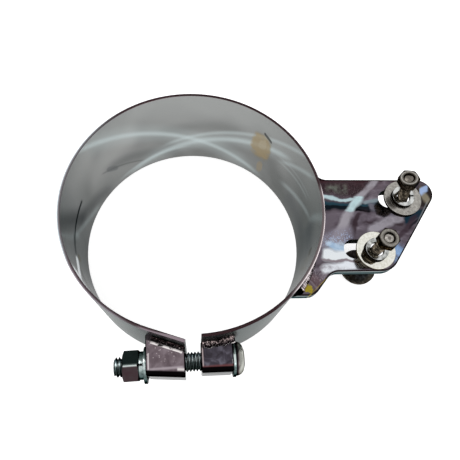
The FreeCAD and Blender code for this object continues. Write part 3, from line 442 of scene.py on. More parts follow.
# At the bracket the bead is painted pale grey as a highlight beside the plate, and
# black as painted shade against the band
plate_bead = add_node(
    tree, "ValToRGB", {"Fac": pits},
    stops=[(0.34, "#6f6065"), (0.6, "#e9e0e2"), (0.44, "#a3979b"), (0.52, "#c9bfc2")],
).outputs["Color"]
near_band = add_node(tree, "MapRange", {0: off_axis(tree, in_mm), 1: 66.2, 2: 67.2, 3: 1.0, 4: 0.0})
plate_bead = blend_colour(tree, near_band, plate_bead, from_hex("#1d1517"))
at_plate = add_node(tree, "MapRange", {0: spot.outputs[0], 1: 30.0, 2: 40.0})
skin = blend_colour(tree, at_plate, lug_bead, plate_bead)
tree.links.new(skin, shader.inputs["Base Color"])
ripples = add_node(tree, "Bump", {"Height": pits, "Strength": 0.4, "Distance": 0.0003})
tree.links.new(ripples.outputs["Normal"], shader.inputs["Normal"])

for place, upside in (("top", 1.0), ("bottom", -1.0)):
    for name, leg, ledge, sunk, start, stop in (
        ("head_lug", LUG_BEAD, LUG_LEDGE, EMBED, -86.8, -73.4),
        ("bracket", PLATE_BEAD, PLATE_LEDGE, WELD_BEVEL, -34.3, 34.3),
    ):
        bm = bmesh.new()
        face = bead_outline(bm, leg, BAND_RADIUS, ledge, sunk)
        rotate(bm, math.radians(start))
        length = math.radians(stop - start) * BAND_RADIUS
        bmesh.ops.spin(
            bm, geom=[face] + list(face.edges) + list(face.verts), cent=(0, 0, 0), axis=(0, 0, 1),
            angle=math.radians(stop - start), steps=int(length / RIPPLE_PITCH * STEPS_A_RIPPLE),
        )
        ripple(
            bm, leg, BAND_RADIUS, ledge,
            lambda co: (math.atan2(co.y, co.x) * BAND_RADIUS, math.hypot(co.x, co.y)),
        )
        bmesh.ops.scale(bm, verts=bm.verts, vec=(1, 1, upside))
        bead = make_piece(bm, f"{name}_{place}_bead", weld, "clamp", BEAD_SMOOTH)
        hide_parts(f"{name}_{place}_weld")

for place in ("top", "bottom"):
    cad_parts[f"nut_lug_{place}_weld"].data.materials[0] = weld

# Bracket plate: 1/4 inch steel, cut to shape with two slots, its edges rounded
# by grinding, welded to the band and chrome plated. The polish isn't quite flat,
# so what it mirrors turns to wavy stripes of brown, teal and lilac, painted on as
# reflections.
PLATE_BASE = "#6f6670"
YELLOW_PAINT = "#b5a132"

# Chrome over rolled plate: its mirror is bent over some 11 mm and waves over 17 mm
bracket, tree, shader, in_mm, facing = new_finish("bright_chrome_on_plate", 0.1, "#5a6062")
warp = add_node(tree, "TexNoise", {"Vector": in_mm, "Scale": 0.09, "Detail": 3.0})
warp = add_node(tree, "VectorMath", {0: warp.outputs["Color"], 1: (0.5, 0.5, 0.5)}, operation="SUBTRACT")
warp = add_node(tree, "VectorMath", {0: warp, "Scale": 7.0}, operation="SCALE")
bent = add_node(tree, "VectorMath", {0: in_mm, 1: warp}, operation="ADD")
spot = add_node(tree, "SeparateXYZ", {"Vector": bent})
x, y = spot.outputs[0], spot.outputs[1]
# The painted reflection is drawn out along one way, from the band's side to the far corner
drawn = add_node(tree, "Mapping", {"Vector": bent, "Rotation": (0, 0, -0.9), "Scale": (0.05, 0.16, 0.1)})
plate_stops = [(0.34, "#40353b"), (0.68, "#8f8791"), (0.48, "#5f565f"), (0.57, PLATE_BASE)]
skin = cloudy_tone(tree, drawn, plate_stops, 1.0, 4.0, 0.4)
long, wide = (x, y), (y, x)
# Painted reflections: stripes and patches of dark brown, teal, lilac, blue and white
skin = lay_streaks(tree, skin, (
    (long, (88.0, 22.0), 0.0, 9.0, (60.0, 96.0), 9.0, "#34252a", 0.95),
    (long, (95.0, 27.4), 0.0, 2.2, (60.0, 140.0), 4.0, "#3a2328", 0.95),
    (long, (96.0, 10.0), -0.04, 4.6, (60.0, 117.0), 5.0, "#111a21", 0.97),
    (long, (96.0, 11.6), -0.04, 1.6, (72.0, 112.0), 6.0, "#2e5160", 0.6),
    (long, (82.0, 15.3), -0.04, 1.7, (70.0, 90.0), 3.0, "#c4dde2", 0.95),
    (long, (103.0, 13.4), -0.02, 2.2, (98.0, 108.0), 3.0, "#8b9aa2", 0.85),
    (long, (95.0, 7.2), -0.05, 1.4, (92.0, 98.0), 3.0, "#04070b", 0.95),
    (long, (104.0, 9.0), -0.3, 4.0, (101.0, 112.0), 3.0, "#7d7a86", 0.8),
    (wide, (8.5, 80.0), 0.7, 5.0, (-8.0, 5.0), 5.0, 0.01, "#6d646d", 0.7),
    (wide, (8.5, 88.5), 0.72, 4.8, (-11.0, 28.0), 5.0, 0.0096, "#a7a2aa", 0.97),
    (wide, (8.5, 88.5), 0.72, 4.8, (8.0, 16.5), 2.0, 0.0096, "#c8e4e9", 0.95),
    (wide, (8.5, 95.5), 0.72, 3.4, (-9.0, 4.0), 3.0, 0.0096, "#35272d", 0.85),
    (long, (109.0, 1.2), 0.42, 4.4, (100.0, 117.0), 4.0, "#a5a0a9", 0.9),
    (long, (125.0, 3.6), 0.35, 4.4, (119.0, 133.0), 2.5, "#12303f", 0.97),
    (long, (127.0, 0.6), 0.55, 1.6, (121.0, 132.0), 2.0, "#05141d", 0.9),
    (wide, (-5.0, 117.0), 1.0, 4.0, (-12.0, 2.0), 4.0, "#3c2e36", 0.75),
    (long, (113.0, -17.5), -0.6, 5.0, (109.0, 117.0), 2.5, "#8fb0dc", 0.8),
    (long, (134.5, 16.0), 0.0, 14.0, (131.0, 138.0), 4.0, "#2b2422", 0.95),
    (long, (135.4, 15.0), -1.2, 6.0, (133.0, 137.0), 3.0, "#978f7c", 0.8),
    (long, (134.0, 20.8), 0.5, 3.4, (132.8, 135.4), 2.2, "#abc2ea", 0.95),
    (long, (76.0, -9.0), 0.3, 8.0, (71.0, 84.0), 6.0, "#8b8490", 0.7),
    (long, (80.0, -15.4), -0.3, 3.6, (75.0, 86.0), 4.0, "#a9c8e6", 0.85),
    (long, (79.0, -19.4), -0.08, 4.8, (71.0, 92.0), 3.5, "#f4f9fd", 0.97),
    (long, (79.0, -25.6), 0.1, 4.6, (69.0, 92.0), 3.5, "#f3f8ff", 0.97),
    (long, (80.0, -22.2), -0.1, 1.1, (71.0, 90.0), 4.0, 0.002, "#7f6f77", 0.8),
    (long, (63.0, -33.0), -0.9, 6.5, (52.0, 70.0), 4.0, "#5d484d", 0.9),
    (long, (62.5, -34.4), -1.1, 1.6, (56.0, 68.0), 4.0, "#877d84", 0.6),
), crisp=(0.08, 0.7))

# Painted broken light: fine sparkle from specks of 0.4 mm, and soft light and dark mottles some 3 mm across
sparkle = add_node(tree, "TexNoise", {"Vector": in_mm, "Scale": 1.3, "Detail": 3.0})
sparkle = add_node(tree, "MapRange", {0: sparkle, 1: 0.52, 2: 0.62})
mottle = add_node(tree, "TexNoise", {"Vector": in_mm, "Scale": 0.3, "Detail": 2.0})
mottle = add_node(tree, "MapRange", {0: mottle, 1: 0.35, 2: 0.75})
for pattern, *shape, code, amount in (
    (sparkle, (113.0, -18.0), -0.6, 10.0, (106.0, 118.0), 4.0, "#8fb6ee", 0.9),
    (mottle, (112.0, -19.0), -0.6, 9.0, (107.0, 117.0), 3.0, "#a9cdf6", 0.8),
    (sparkle, (77.0, -11.0), 0.3, 8.0, (72.0, 84.0), 4.0, "#b9cdf0", 0.7),
    (mottle, (78.0, -13.5), -0.2, 5.0, (72.0, 88.0), 4.0, "#cfe2f4", 0.8),
    (mottle, (76.0, -27.0), -0.3, 4.0, (68.0, 82.0), 4.0, "#7c7078", 0.8),
    (mottle, (82.0, 21.5), 0.0, 4.5, (77.0, 87.0), 3.0, "#98a898", 0.6),
    (mottle, (88.0, 24.0), 0.0, 5.0, (76.0, 112.0), 6.0, "#5a4248", 0.5),
    (mottle, (101.0, 5.0), 0.0, 9.0, (90.0, 116.0), 6.0, "#3b3238", 0.5),
    (mottle, (120.0, -6.0), 0.8, 8.0, (112.0, 126.0), 5.0, "#3c3038", 0.7),
    (mottle, (66.0, -31.0), -0.9, 8.0, (56.0, 74.0), 5.0, "#86767c", 0.5),
    (sparkle, (66.0, -31.0), -0.9, 8.0, (56.0, 74.0), 5.0, "#b5abb2", 0.5),
    (sparkle, (90.0, 20.0), 0.0, 9.0, (76.0, 116.0), 6.0, "#8f8487", 0.25),
):
    reach = streak(tree, x, y, *shape)
    reach = add_node(tree, "Math", {0: reach, 1: pattern}, operation="MULTIPLY")
    skin = blend_colour(tree, reach, skin, from_hex(code), amount)

# The edge's rounding shows as a painted reflection, a black line with a light one inside it
straight = add_node(tree, "SeparateXYZ", {"Vector": in_mm})
long, wide = straight.outputs[:2], (straight.outputs[1], straight.outputs[0])
skin = lay_streaks(tree, skin, (
    (long, (100.0, 27.6), 0.0, 1.3, (66.0, 131.0), 3.0, "#140d0e", 0.95),
    (wide, (-5.0, 124.6), 0.64, 1.6, (-24.0, 12.0), 3.0, "#15181b", 0.9),
    (wide, (-5.0, 123.0), 0.64, 0.8, (-16.0, 12.0), 4.0, "#8d9397", 0.6),
    (long, (90.0, -27.9), 0.0, 1.0, (76.0, 110.0), 3.0, "#2a2224", 0.9),
))
# Painted reflection on the rounding itself, by its facing
tilt = add_node(tree, "SeparateXYZ", {"Vector": facing})
level = add_node(tree, "Math", {0: tilt.outputs[2]}, operation="ABSOLUTE")
edge = add_node(
    tree, "ValToRGB", {"Fac": level},
    stops=[(0.0, "#98a2a2"), (0.97, "#1d1719"), (0.3, "#b9c2c2"), (0.45, "#161213"), (0.8, "#261e21")],
).outputs["Color"]
flat = add_node(tree, "MapRange", {0: level, 1: 0.95, 2: 0.995})
skin = blend_colour(tree, flat, edge, skin)

# A dab of yellow paint on the foot, with a thin run along its edge
dab = streak(tree, *long, (59.2, -36.9), -0.3, 4.6, (58.0, 60.4), 3.4)
ragged = add_node(tree, "TexNoise", {"Vector": in_mm, "Scale": 0.9, "Detail": 3.0})
dab = add_node(tree, "Math", {0: dab, 1: ragged}, operation="MULTIPLY")
dab = add_node(tree, "MapRange", {0: dab, 1: 0.22, 2: 0.34})
drip = streak(tree, *long, (61.0, -39.7), 0.9, 0.45, (57.0, 68.0), 3.0)
drip = add_node(tree, "Math", {0: drip, 1: 0.6}, operation="MULTIPLY")
paint = add_node(tree, "Math", {0: dab, 1: drip}, operation="MAXIMUM")
skin = blend_colour(tree, paint, skin, from_hex(YELLOW_PAINT))
tree.links.new(skin, shader.inputs["Base Color"])
dry = add_node(tree, "MapRange", {0: paint, 3: 0.1, 4: 0.55})
tree.links.new(dry.outputs[0], shader.inputs["Roughness"])
bare = add_node(tree, "MapRange", {0: paint, 3: 1.0, 4: 0.0})
tree.links.new(bare.outputs[0], shader.inputs["Metallic"])
add_grain(tree, shader, in_mm, 0.06, 2.0, 0.15, 0.0006)
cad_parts["bracket_plate"].data.materials[0] = bracket

# Closing bolt: 3/8-16 with rolled threads to the head and a low button head with
# a hexagon socket, zinc plated. It stands 2.6 degrees off square to the gap.
CLOSING_CENTRE = Vector((-0.00075, -0.072, 0.0))
CLOSING_SKEW = math.radians(2.6)
CLOSING_ALONG = Vector((math.cos(CLOSING_SKEW), math.sin(CLOSING_SKEW), 0.0))
HALF_GAP = 0.00375
HEAD_LUG_LENGTH = 0.0152
CLOSING_WASHER = (0.0175, 0.0103, 0.0016)
CLOSING_RADIUS = 0.0047625
CLOSING_LENGTH = 0.0584
CLOSING_PITCH = 0.0254 / 16
THREAD_DEPTH = 0.61
THREAD_TIP = 0.0008
THREAD_SMOOTH = math.radians(50)
BUTTON = [
    (0.0, 0.0), (0.0082, 0.0), (0.0082, 0.0008), (0.0080, 0.0016), (0.0075, 0.0026), (0.0064, 0.0037),
    (0.0045, 0.0044),
]
SOCKET_CORNER = 0.00321
SOCKET_DEPTH = 0.0028
SOCKET_TURN = 0.3
HEAD_STEPS = 72
HEAD_SMOOTH = math.radians(24)


def screw_thread(bm, radius, pitch, length, tip, steps=40):
    """Rod along +Z from the origin with a thread wound round it, from one turn of
    crest, flank, root and flank. Its tip is chamfered."""
    root = radius - THREAD_DEPTH * pitch
    profile = [(radius, 0.0), (radius, 0.12), (root, 0.5), (root, 0.62), (radius, 1.0)]
    verts = [bm.verts.new((r, 0.0, (share - 1.0) * pitch)) for r, share in profile]
    edges = [bm.edges.new(pair) for pair in zip(verts, verts[1:])]
    bmesh.ops.spin(
        bm, geom=verts + edges, cent=(0, 0, 0), axis=(0, 0, 1), dvec=(0, 0, pitch / steps),
        angle=2 * math.pi, steps=steps,
    )
    one_turn = list(bm.verts) + list(bm.edges) + list(bm.faces)
    for turn in range(1, int(length / pitch) + 3):
        copy = bmesh.ops.duplicate(bm, geom=one_turn)["geom"]
        moved = [v for v in copy if isinstance(v, bmesh.types.BMVert)]
        bmesh.ops.translate(bm, verts=moved, vec=(0, 0, turn * pitch))
    bmesh.ops.remove_doubles(bm, verts=bm.verts, dist=1e-6)
    for z, outwards in ((0.0, -1), (length, 1)):
        cut = bmesh.ops.bisect_plane(
            bm, geom=list(bm.verts) + list(bm.edges) + list(bm.faces), dist=1e-7,
            plane_co=(0, 0, z), plane_no=(0, 0, outwards), clear_outer=True,
        )
        rim = [e for e in cut["geom_cut"] if isinstance(e, bmesh.types.BMEdge)]
        bmesh.ops.edgeloop_fill(bm, edges=rim)
    for vert in bm.verts:
        reach = math.hypot(vert.co.x, vert.co.y)
        limit = radius - max(0.0, vert.co.z - (length - tip))
        if reach > limit:
            vert.co.x *= limit / reach
            vert.co.y *= limit / reach


def place_along(bm, origin, axis, turn=0.0):
    """Stand a shape made along +Z on its axis."""
    upright = Vector((0, 0, 1)).rotation_difference(axis).to_matrix()
    bmesh.ops.rotate(bm, verts=bm.verts, cent=(0, 0, 0), matrix=upright @ Matrix.Rotation(turn, 3, "Z"))
    bmesh.ops.translate(bm, verts=bm.verts, vec=origin)


# Clear zinc on the thread: a painted highlight in one broad line along the bolt and
# painted shade to its sides, clouded over some 2 mm, and painted shade in the
# thread's root
threaded, tree, shader, in_mm, facing = new_finish("bright_zinc_on_thread", 0.2, "#6a7473")
in_bolt = add_node(
    tree, "Mapping", {"Vector": in_mm, "Location": CLOSING_CENTRE * 1000, "Rotation": (0, 0, CLOSING_SKEW)},
    vector_type="TEXTURE",
)
spot = add_node(tree, "SeparateXYZ", {"Vector": in_bolt})
cloud = add_node(tree, "TexNoise", {"Vector": in_mm, "Scale": 0.5, "Detail": 4.0, "Distortion": 0.5})
wander = add_node(tree, "Math", {0: cloud, 1: 3.0, 2: -1.5}, operation="MULTIPLY_ADD")
side = add_node(tree, "Math", {0: spot.outputs[1], 1: wander}, operation="ADD")
side = add_node(tree, "MapRange", {0: side, 1: -4.8, 2: 4.8})
tone = add_node(
    tree, "ValToRGB", {"Fac": side},
    stops=[
        (0.0, "#141919"), (1.0, "#141919"), (0.2, "#4d5956"), (0.42, "#7b8b8b"), (0.6, "#f0fafa"),
        (0.74, "#a9bac0"), (0.86, "#4a575b"),
    ],
).outputs["Color"]
from_axis = off_axis(tree, in_bolt, (0, 1, 1))
root = add_node(tree, "MapRange", {0: from_axis, 1: 3.9, 2: 4.6, 3: 0.6, 4: 0.0})
in_thread = add_node(tree, "MapRange", {0: from_axis, 1: 3.4, 2: 3.7})
root = add_node(tree, "Math", {0: root, 1: in_thread}, operation="MULTIPLY")
tone = blend_colour(tree, root, tone, from_hex("#0b0d0d"))
tree.links.new(tone, shader.inputs["Base Color"])

# The head's dome is plated smooth, with painted shade round its rim and a painted
# cream grey highlight at its crown
smooth, tree, shader, in_mm, facing = new_finish("smooth_plated_button_head", 0.2, "#5c5a55")
tilt = add_node(tree, "SeparateXYZ", {"Vector": facing})
tone = add_node(
    tree, "ValToRGB", {"Fac": tilt.outputs[0]},
    stops=[(0.08, "#171214"), (0.95, "#b0b1ab"), (0.2, "#4a4142"), (0.32, "#86837f"), (0.5, "#a3a49e")],
).outputs["Color"]
tree.links.new(tone, shader.inputs["Base Color"])

head_seat = CLOSING_CENTRE + CLOSING_ALONG * (HALF_GAP + HEAD_LUG_LENGTH + CLOSING_WASHER[2])
bm = bmesh.new()
screw_thread(bm, CLOSING_RADIUS, CLOSING_PITCH, CLOSING_LENGTH, THREAD_TIP, 48)
place_along(bm, head_seat, -CLOSING_ALONG)
rod = make_piece(bm, "closing_bolt_thread", threaded, "clamp", THREAD_SMOOTH)

bm = bmesh.new()
verts = [bm.verts.new((r, 0.0, z)) for r, z in BUTTON]
edges = [bm.edges.new(pair) for pair in zip(verts, verts[1:])]
bmesh.ops.spin(
    bm, geom=verts + edges, cent=(0, 0, 0), axis=(0, 0, 1), angle=2 * math.pi, steps=HEAD_STEPS,
    use_merge=True,
)
bmesh.ops.remove_doubles(bm, verts=bm.verts, dist=1e-7)
crown = [e for e in bm.edges if e.is_boundary]
hexagon = bmesh.ops.create_circle(bm, cap_ends=False, segments=6, radius=SOCKET_CORNER)["verts"]
bmesh.ops.translate(bm, verts=hexagon, vec=(0, 0, BUTTON[-1][1]))
sides = list({e for v in hexagon for e in v.link_edges})
bmesh.ops.subdivide_edges(bm, edges=sides, cuts=HEAD_STEPS // 6 - 1)
inner = [e for e in bm.edges if e.is_wire]
bmesh.ops.bridge_loops(bm, edges=crown + inner)
wall = bmesh.ops.extrude_edge_only(bm, edges=inner)["geom"]
low = [v for v in wall if isinstance(v, bmesh.types.BMVert)]
bmesh.ops.translate(bm, verts=low, vec=(0, 0, -SOCKET_DEPTH))
bmesh.ops.edgeloop_fill(bm, edges=[e for e in bm.edges if e.is_boundary])
place_along(bm, head_seat, CLOSING_ALONG, SOCKET_TURN)
button = make_piece(bm, "closing_bolt_head", smooth, "clamp", HEAD_SMOOTH)
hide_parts("closing_bolt")
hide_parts("closing_bolt")

# Washers on the closing bolt: stamped flat ones against the lugs and a split
# spring washer under the nut, all zinc plated.
NUT_LUG_LENGTH = 0.0182
CLOSING_LOCK = (0.0134, 0.010025, 0.0022)
FLAT_EASE = 0.00025
LOCK_EASE = 0.0002
LOCK_SWEEP = 350.0


def turned_ring(bm, outer, hole, thick, ease, sweep=360.0, steps=96):
    """Ring from z = 0 up, its section's corners rounded."""
    across = (outer - hole) / 4
    middle = (outer + hole) / 4
    bmesh.ops.create_grid(bm, x_segments=1, y_segments=1, size=1.0)
    bmesh.ops.scale(bm, verts=bm.verts, vec=(across, thick / 2, 1))
    bmesh.ops.bevel(
        bm, geom=list(bm.verts), offset=ease, segments=3, profile=0.5, affect="VERTICES", material=-1,
    )
    rotate(bm, math.pi / 2, "X")
    bmesh.ops.translate(bm, verts=bm.verts, vec=(middle, 0, thick / 2))
    section = list(bm.faces)
    whole = sweep >= 360.0
    geom = section + [e for f in section for e in f.edges] + [v for f in section for v in f.verts]
    rotate(bm, math.radians(180 - sweep / 2))
    bmesh.ops.spin(
        bm, geom=list(dict.fromkeys(geom)), cent=(0, 0, 0), axis=(0, 0, 1),
        angle=math.radians(sweep), steps=steps, use_merge=whole,
    )
    if whole:
        bmesh.ops.remove_doubles(bm, verts=bm.verts, dist=1e-7)
        inner = [f for f in bm.faces if f.calc_area() > 0 and len(f.verts) > 4]
        bmesh.ops.delete(bm, geom=inner, context="FACES_ONLY")


# Clear zinc over steel, painted light where it faces up and painted shade, dark
# teal, down its sides, clouded over some 2 mm. Its grain is finer than 0.1 mm,
# drawn at 0.3 mm so that it shows.
zinc, tree, shader, in_mm, facing = new_finish("bright_zinc_plate", 0.17, "#6a7473")
cloud = add_node(tree, "TexNoise", {"Vector": in_mm, "Scale": 0.5, "Detail": 4.0, "Distortion": 0.5})
tilt = add_node(tree, "SeparateXYZ", {"Vector": facing})
cloudy = add_node(tree, "Math", {0: cloud, 1: 0.5, 2: -0.25}, operation="MULTIPLY_ADD")
shade = add_node(tree, "Math", {0: tilt.outputs[2], 1: cloudy}, operation="ADD")
tone = add_node(
    tree, "ValToRGB", {"Fac": shade},
    stops=[(0.1, "#121818"), (1.0, "#dfeae8"), (0.5, "#2f3b3a"), (0.74, "#5f6f6e"), (0.9, "#a6b7b5")],
).outputs["Color"]
tree.links.new(tone, shader.inputs["Base Color"])
add_grain(tree, shader, in_mm, 3.0, 3.0, 0.08, 0.0001)

nut_face = CLOSING_CENTRE - CLOSING_ALONG * (HALF_GAP + NUT_LUG_LENGTH)
head_face = CLOSING_CENTRE + CLOSING_ALONG * (HALF_GAP + HEAD_LUG_LENGTH)
for name, origin, axis, body in (
    ("closing_head_washer", head_face, CLOSING_ALONG, "clamp"),
    ("closing_flat_washer", nut_face, -CLOSING_ALONG, "closing_washers"),
):
    bm = bmesh.new()
    turned_ring(bm, *CLOSING_WASHER, FLAT_EASE)
    place_along(bm, origin, axis)
    ring = make_piece(bm, name + "_ring", zinc, body)
    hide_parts(name)
bm = bmesh.new()
turned_ring(bm, *CLOSING_LOCK, LOCK_EASE, LOCK_SWEEP)
place_along(bm, nut_face - CLOSING_ALONG * CLOSING_WASHER[2], -CLOSING_ALONG)
ring = make_piece(bm, "closing_spring_washer", zinc, "closing_washers")
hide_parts("closing_lock_washer")

# Closing nut: hexagon nut with its corners turned back, in a darker zinc. Its
# flats show the room as painted reflections, dark green above and dark red below a
# painted bright corner highlight.

# Zinc with a dark passivation, clouded over 2.5 mm, its fine grain drawn at 0.5 mm
dark_zinc, tree, shader, in_mm, facing = new_finish("dark_zinc_on_closing_nut", 0.13, "#3d4747")
spot = add_node(tree, "SeparateXYZ", {"Vector": in_mm})
tilt = add_node(tree, "SeparateXYZ", {"Vector": facing})
cloud = add_node(tree, "TexNoise", {"Vector": in_mm, "Scale": 0.4, "Detail": 3.0})
towards_band = add_node(tree, "MapRange", {0: tilt.outputs[1], 1: -1.0, 2: 1.0})
tone = add_node(
    tree, "ValToRGB", {"Fac": towards_band},
    stops=[(0.0, "#4b3238"), (1.0, "#222a2c"), (0.4, "#3f2a2f"), (0.55, "#2a3234"), (0.8, "#33413f")],
).outputs["Color"]
tone = blend_colour(tree, cloud, tone, from_hex("#5b6463"), 0.35)
# Painted highlight along the nut's bright corner
corner = streak(tree, spot.outputs[0], spot.outputs[1], (-30.4, -73.7), 0.0454, 0.9, (-33.4, -26.0), 0.4)
tone = blend_colour(tree, corner, tone, from_hex("#eef7f5"))
end = add_node(tree, "MapRange", {0: tilt.outputs[0], 1: 0.3, 2: 0.6})
tone = blend_colour(tree, end, tone, from_hex("#8d9a99"), 0.8)
tree.links.new(tone, shader.inputs["Base Color"])
add_grain(tree, shader, in_mm, 2.0, 3.0, 0.1, 0.0001)
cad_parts["closing_nut"].data.materials[0] = dark_zinc

# Bracket bolts: M6 x 50 hexagon bolts that stand on their heads in the slots, each
# with a nut run up to its end. The steel is dull, with brown in its threads.
M6_RADIUS = 0.003
M6_PITCH = 0.001
M6_LENGTH = 0.05
HEX_FLATS = 0.010
HEX_CORNER = HEX_FLATS / 2 * 1.1547005
# A leaning head stands on the edge of its chamfer, a little inside its corners
HEX_BEARING = HEX_CORNER * 0.92
HEX_HEAD = 0.004
HEX_TURN = math.radians(75)
HEX_EASE = 0.0003
LEAN = math.radians(14.4)
HEADING = math.radians(142.0)
FLOOR = -0.031
SHINE_FROM = Vector((0.5, -0.87, 0.0))
# Rings of tone, painted light and shade, from the bolt's axis out to the nut's corners, over END_REACH in mm
END_REACH = 6.0
INBOARD_END = [
    (0.0, "#76716c"), (1.0, "#191613"), (0.14, "#8a8580"), (0.2, "#c9c4bd"), (0.36, "#b5b0aa"),
    (0.42, "#c4bfb8"), (0.5, "#8a857f"), (0.55, "#6a655f"), (0.62, "#97938c"), (0.74, "#a8a49d"),
    (0.8, "#5b564f"), (0.85, "#191613"),
]
OUTBOARD_END = [
    (0.0, "#6f6963"), (1.0, "#191613"), (0.42, "#8a847c"), (0.5, "#7c766e"), (0.55, "#6d6860"),
    (0.62, "#8b8780"), (0.68, "#cbc9c4"), (0.73, "#97928b"), (0.78, "#4a453e"), (0.83, "#191613"),
]

leaning = Vector((math.sin(LEAN) * math.cos(HEADING), math.sin(LEAN) * math.sin(HEADING), math.cos(LEAN)))
bolts = []
for name, in_slot, axis, end_stops in (
    ("inboard", Vector((0.0989, -0.0165, 0.0)), Vector((0, 0, 1)), INBOARD_END),
    ("outboard", Vector((0.1206, 0.0145, 0.0)), leaning, OUTBOARD_END),
):
    slant = math.acos(min(1.0, axis.z))
    head_bottom = FLOOR + HEX_BEARING * math.sin(slant)
    under_head = in_slot + axis * (head_bottom / math.cos(slant) + HEX_HEAD)
    bolts.append((name, in_slot, axis, under_head))

    # Dull plated steel: brown-black sides clouded over 1.7 mm, painted rings of light
    # and shade on the end and the nut's top, and a painted highlight line, on the side
    # facing SHINE_FROM, where the shank leaves the washers.
    # Its grain is finer than 0.1 mm, drawn at 0.4 mm so that it shows.
    dull, tree, shader, in_mm, facing = new_finish(name + "_dull_bolt_steel", 0.26, "#5a534a")
    standing = Vector((0, 0, 1)).rotation_difference(axis).to_euler()
    in_bolt = add_node(
        tree, "Mapping",
        {"Vector": in_mm, "Location": (under_head + axis * M6_LENGTH) * 1000, "Rotation": standing},
        vector_type="TEXTURE",
    )
    spot = add_node(tree, "SeparateXYZ", {"Vector": in_bolt})
    steel_stops = [(0.35, "#221e19"), (0.68, "#8a8072"), (0.5, "#453f36"), (0.58, "#5d5549")]
    tone = cloudy_tone(tree, in_mm, steel_stops, 0.6, 4.0)
    towards = add_node(
        tree, "VectorMath", {0: facing, 1: SHINE_FROM.normalized()}, operation="DOT_PRODUCT",
    ).outputs["Value"]
    shine = add_node(tree, "MapRange", {0: towards, 1: 0.8, 2: 0.95})
    low = add_node(tree, "MapRange", {0: spot.outputs[2], 1: -9.0, 2: -12.0})
    shine = add_node(tree, "Math", {0: shine, 1: low}, operation="MULTIPLY")
    tone = blend_colour(tree, shine, tone, from_hex("#b9ae9c"), 0.8)
    reach = add_node(tree, "MapRange", {0: off_axis(tree, in_bolt), 1: 0.0, 2: END_REACH})
    rings = add_node(tree, "ValToRGB", {"Fac": reach}, stops=end_stops).outputs["Color"]
    speck = add_node(tree, "TexNoise", {"Vector": in_mm, "Scale": 1.6, "Detail": 3.0})
    speck = add_node(tree, "MapRange", {0: speck, 1: 0.4, 2: 0.65, 3: 0.0, 4: 0.45})
    rings = blend_colour(tree, speck, rings, from_hex("#3f3a35"))
    end = add_node(tree, "MapRange", {0: spot.outputs[2], 1: -1.1, 2: -0.5})
    tone = blend_colour(tree, end, tone, rings)
    tree.links.new(tone, shader.inputs["Base Color"])
    add_grain(tree, shader, in_mm, 2.5, 4.0, 0.2, 0.00012)

    bm = bmesh.new()
    screw_thread(bm, M6_RADIUS, M6_PITCH, M6_LENGTH, THREAD_TIP, 32)
    place_along(bm, under_head, axis)
    shank = make_piece(bm, name + "_bolt_thread", dull, name + "_bolt", THREAD_SMOOTH)
    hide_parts(name + "_bolt")

    bm = bmesh.new()
    bmesh.ops.create_circle(bm, cap_ends=True, segments=6, radius=HEX_CORNER)
    rotate(bm, HEX_TURN)
    up = bmesh.ops.extrude_face_region(bm, geom=list(bm.faces))["geom"]
    bmesh.ops.translate(bm, verts=[v for v in up if isinstance(v, bmesh.types.BMVert)], vec=(0, 0, HEX_HEAD))
    bmesh.ops.bevel(
        bm, geom=list(bm.edges), offset=HEX_EASE, segments=2, profile=0.5, affect="EDGES", material=-1,
    )
    bmesh.ops.translate(bm, verts=bm.verts, vec=(0, 0, -HEX_HEAD))
    place_along(bm, under_head, axis)
    head = make_piece(bm, name + "_bolt_head", dull, name + "_bolt")
    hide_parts(name + "_bolt")
    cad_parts[name + "_nut"].data.materials[0] = dull

# Bracket washers: a large flat one on each bolt's head, and on the plate over each
# slot a flat one and a split spring washer. All are plated and lie loose.
WASHER = (0.0218, 0.0084, 0.0016)
LOCK = (0.0128, 0.0078, 0.0020)
WASHER_EASE = 0.0003
BRACKET_LOCK_SWEEP = 349.0
PLATE_TOP = 0.003175
# Held just off the plate, so that no face of one lies in a face of the other
WASHER_LIFT = 0.00002


def dark_sided(tree, facing, tone, low, high, code):
    """Another colour, a painted shade, where the surface turns away from facing up."""
    tilt = add_node(tree, "SeparateXYZ", {"Vector": facing})
    face = add_node(tree, "MapRange", {0: tilt.outputs[2], 1: low, 2: high})
    return blend_colour(tree, face, from_hex(code), tone)


# Zinc gone dull, clouded over 2 mm, its colour painted nearly black as the plate's
# shadow, in which the lower washers lie
shaded, tree, shader, in_mm, facing = new_finish("dull_zinc_painted_shadow_lower_washer", 0.3, "#4a4640")
tone = cloudy_tone(tree, in_mm, [(0.35, "#302d27"), (0.68, "#6b675f"), (0.52, "#464239")], 0.5, 4.0)
tree.links.new(tone, shader.inputs["Base Color"])

# Nickel polished to a mirror: creamy white as long as nothing dark stands over it,
# with faint clouds of 1 mm, and painted shade down its sides
cream, tree, shader, in_mm, facing = new_finish("bright_nickel_washer", 0.06, "#8d8a80")
tone = cloudy_tone(tree, in_mm, [(0.35, "#e6e5d8"), (0.65, "#fbfaf2"), (0.5, "#f2f1e7")], 0.9, 4.0)
tone = dark_sided(tree, facing, tone, 0.6, 0.9, "#6b655a")
tree.links.new(tone, shader.inputs["Base Color"])

# Zinc dulled by handling: grey cream, clouded over 1.4 mm, with painted shade dark at
# its edges, its fine grain drawn at 0.4 mm
satin, tree, shader, in_mm, facing = new_finish("satin_zinc_washer", 0.27, "#6e6a62")
tone = cloudy_tone(tree, in_mm, [(0.3, "#8d8984"), (0.7, "#c3c0ba"), (0.5, "#a9a6a0")], 0.7, 5.0, 0.6)
tone = dark_sided(tree, facing, tone, 0.6, 0.9, "#3a352f")
tree.links.new(tone, shader.inputs["Base Color"])
add_grain(tree, shader, in_mm, 2.5, 4.0, 0.2, 0.0001)

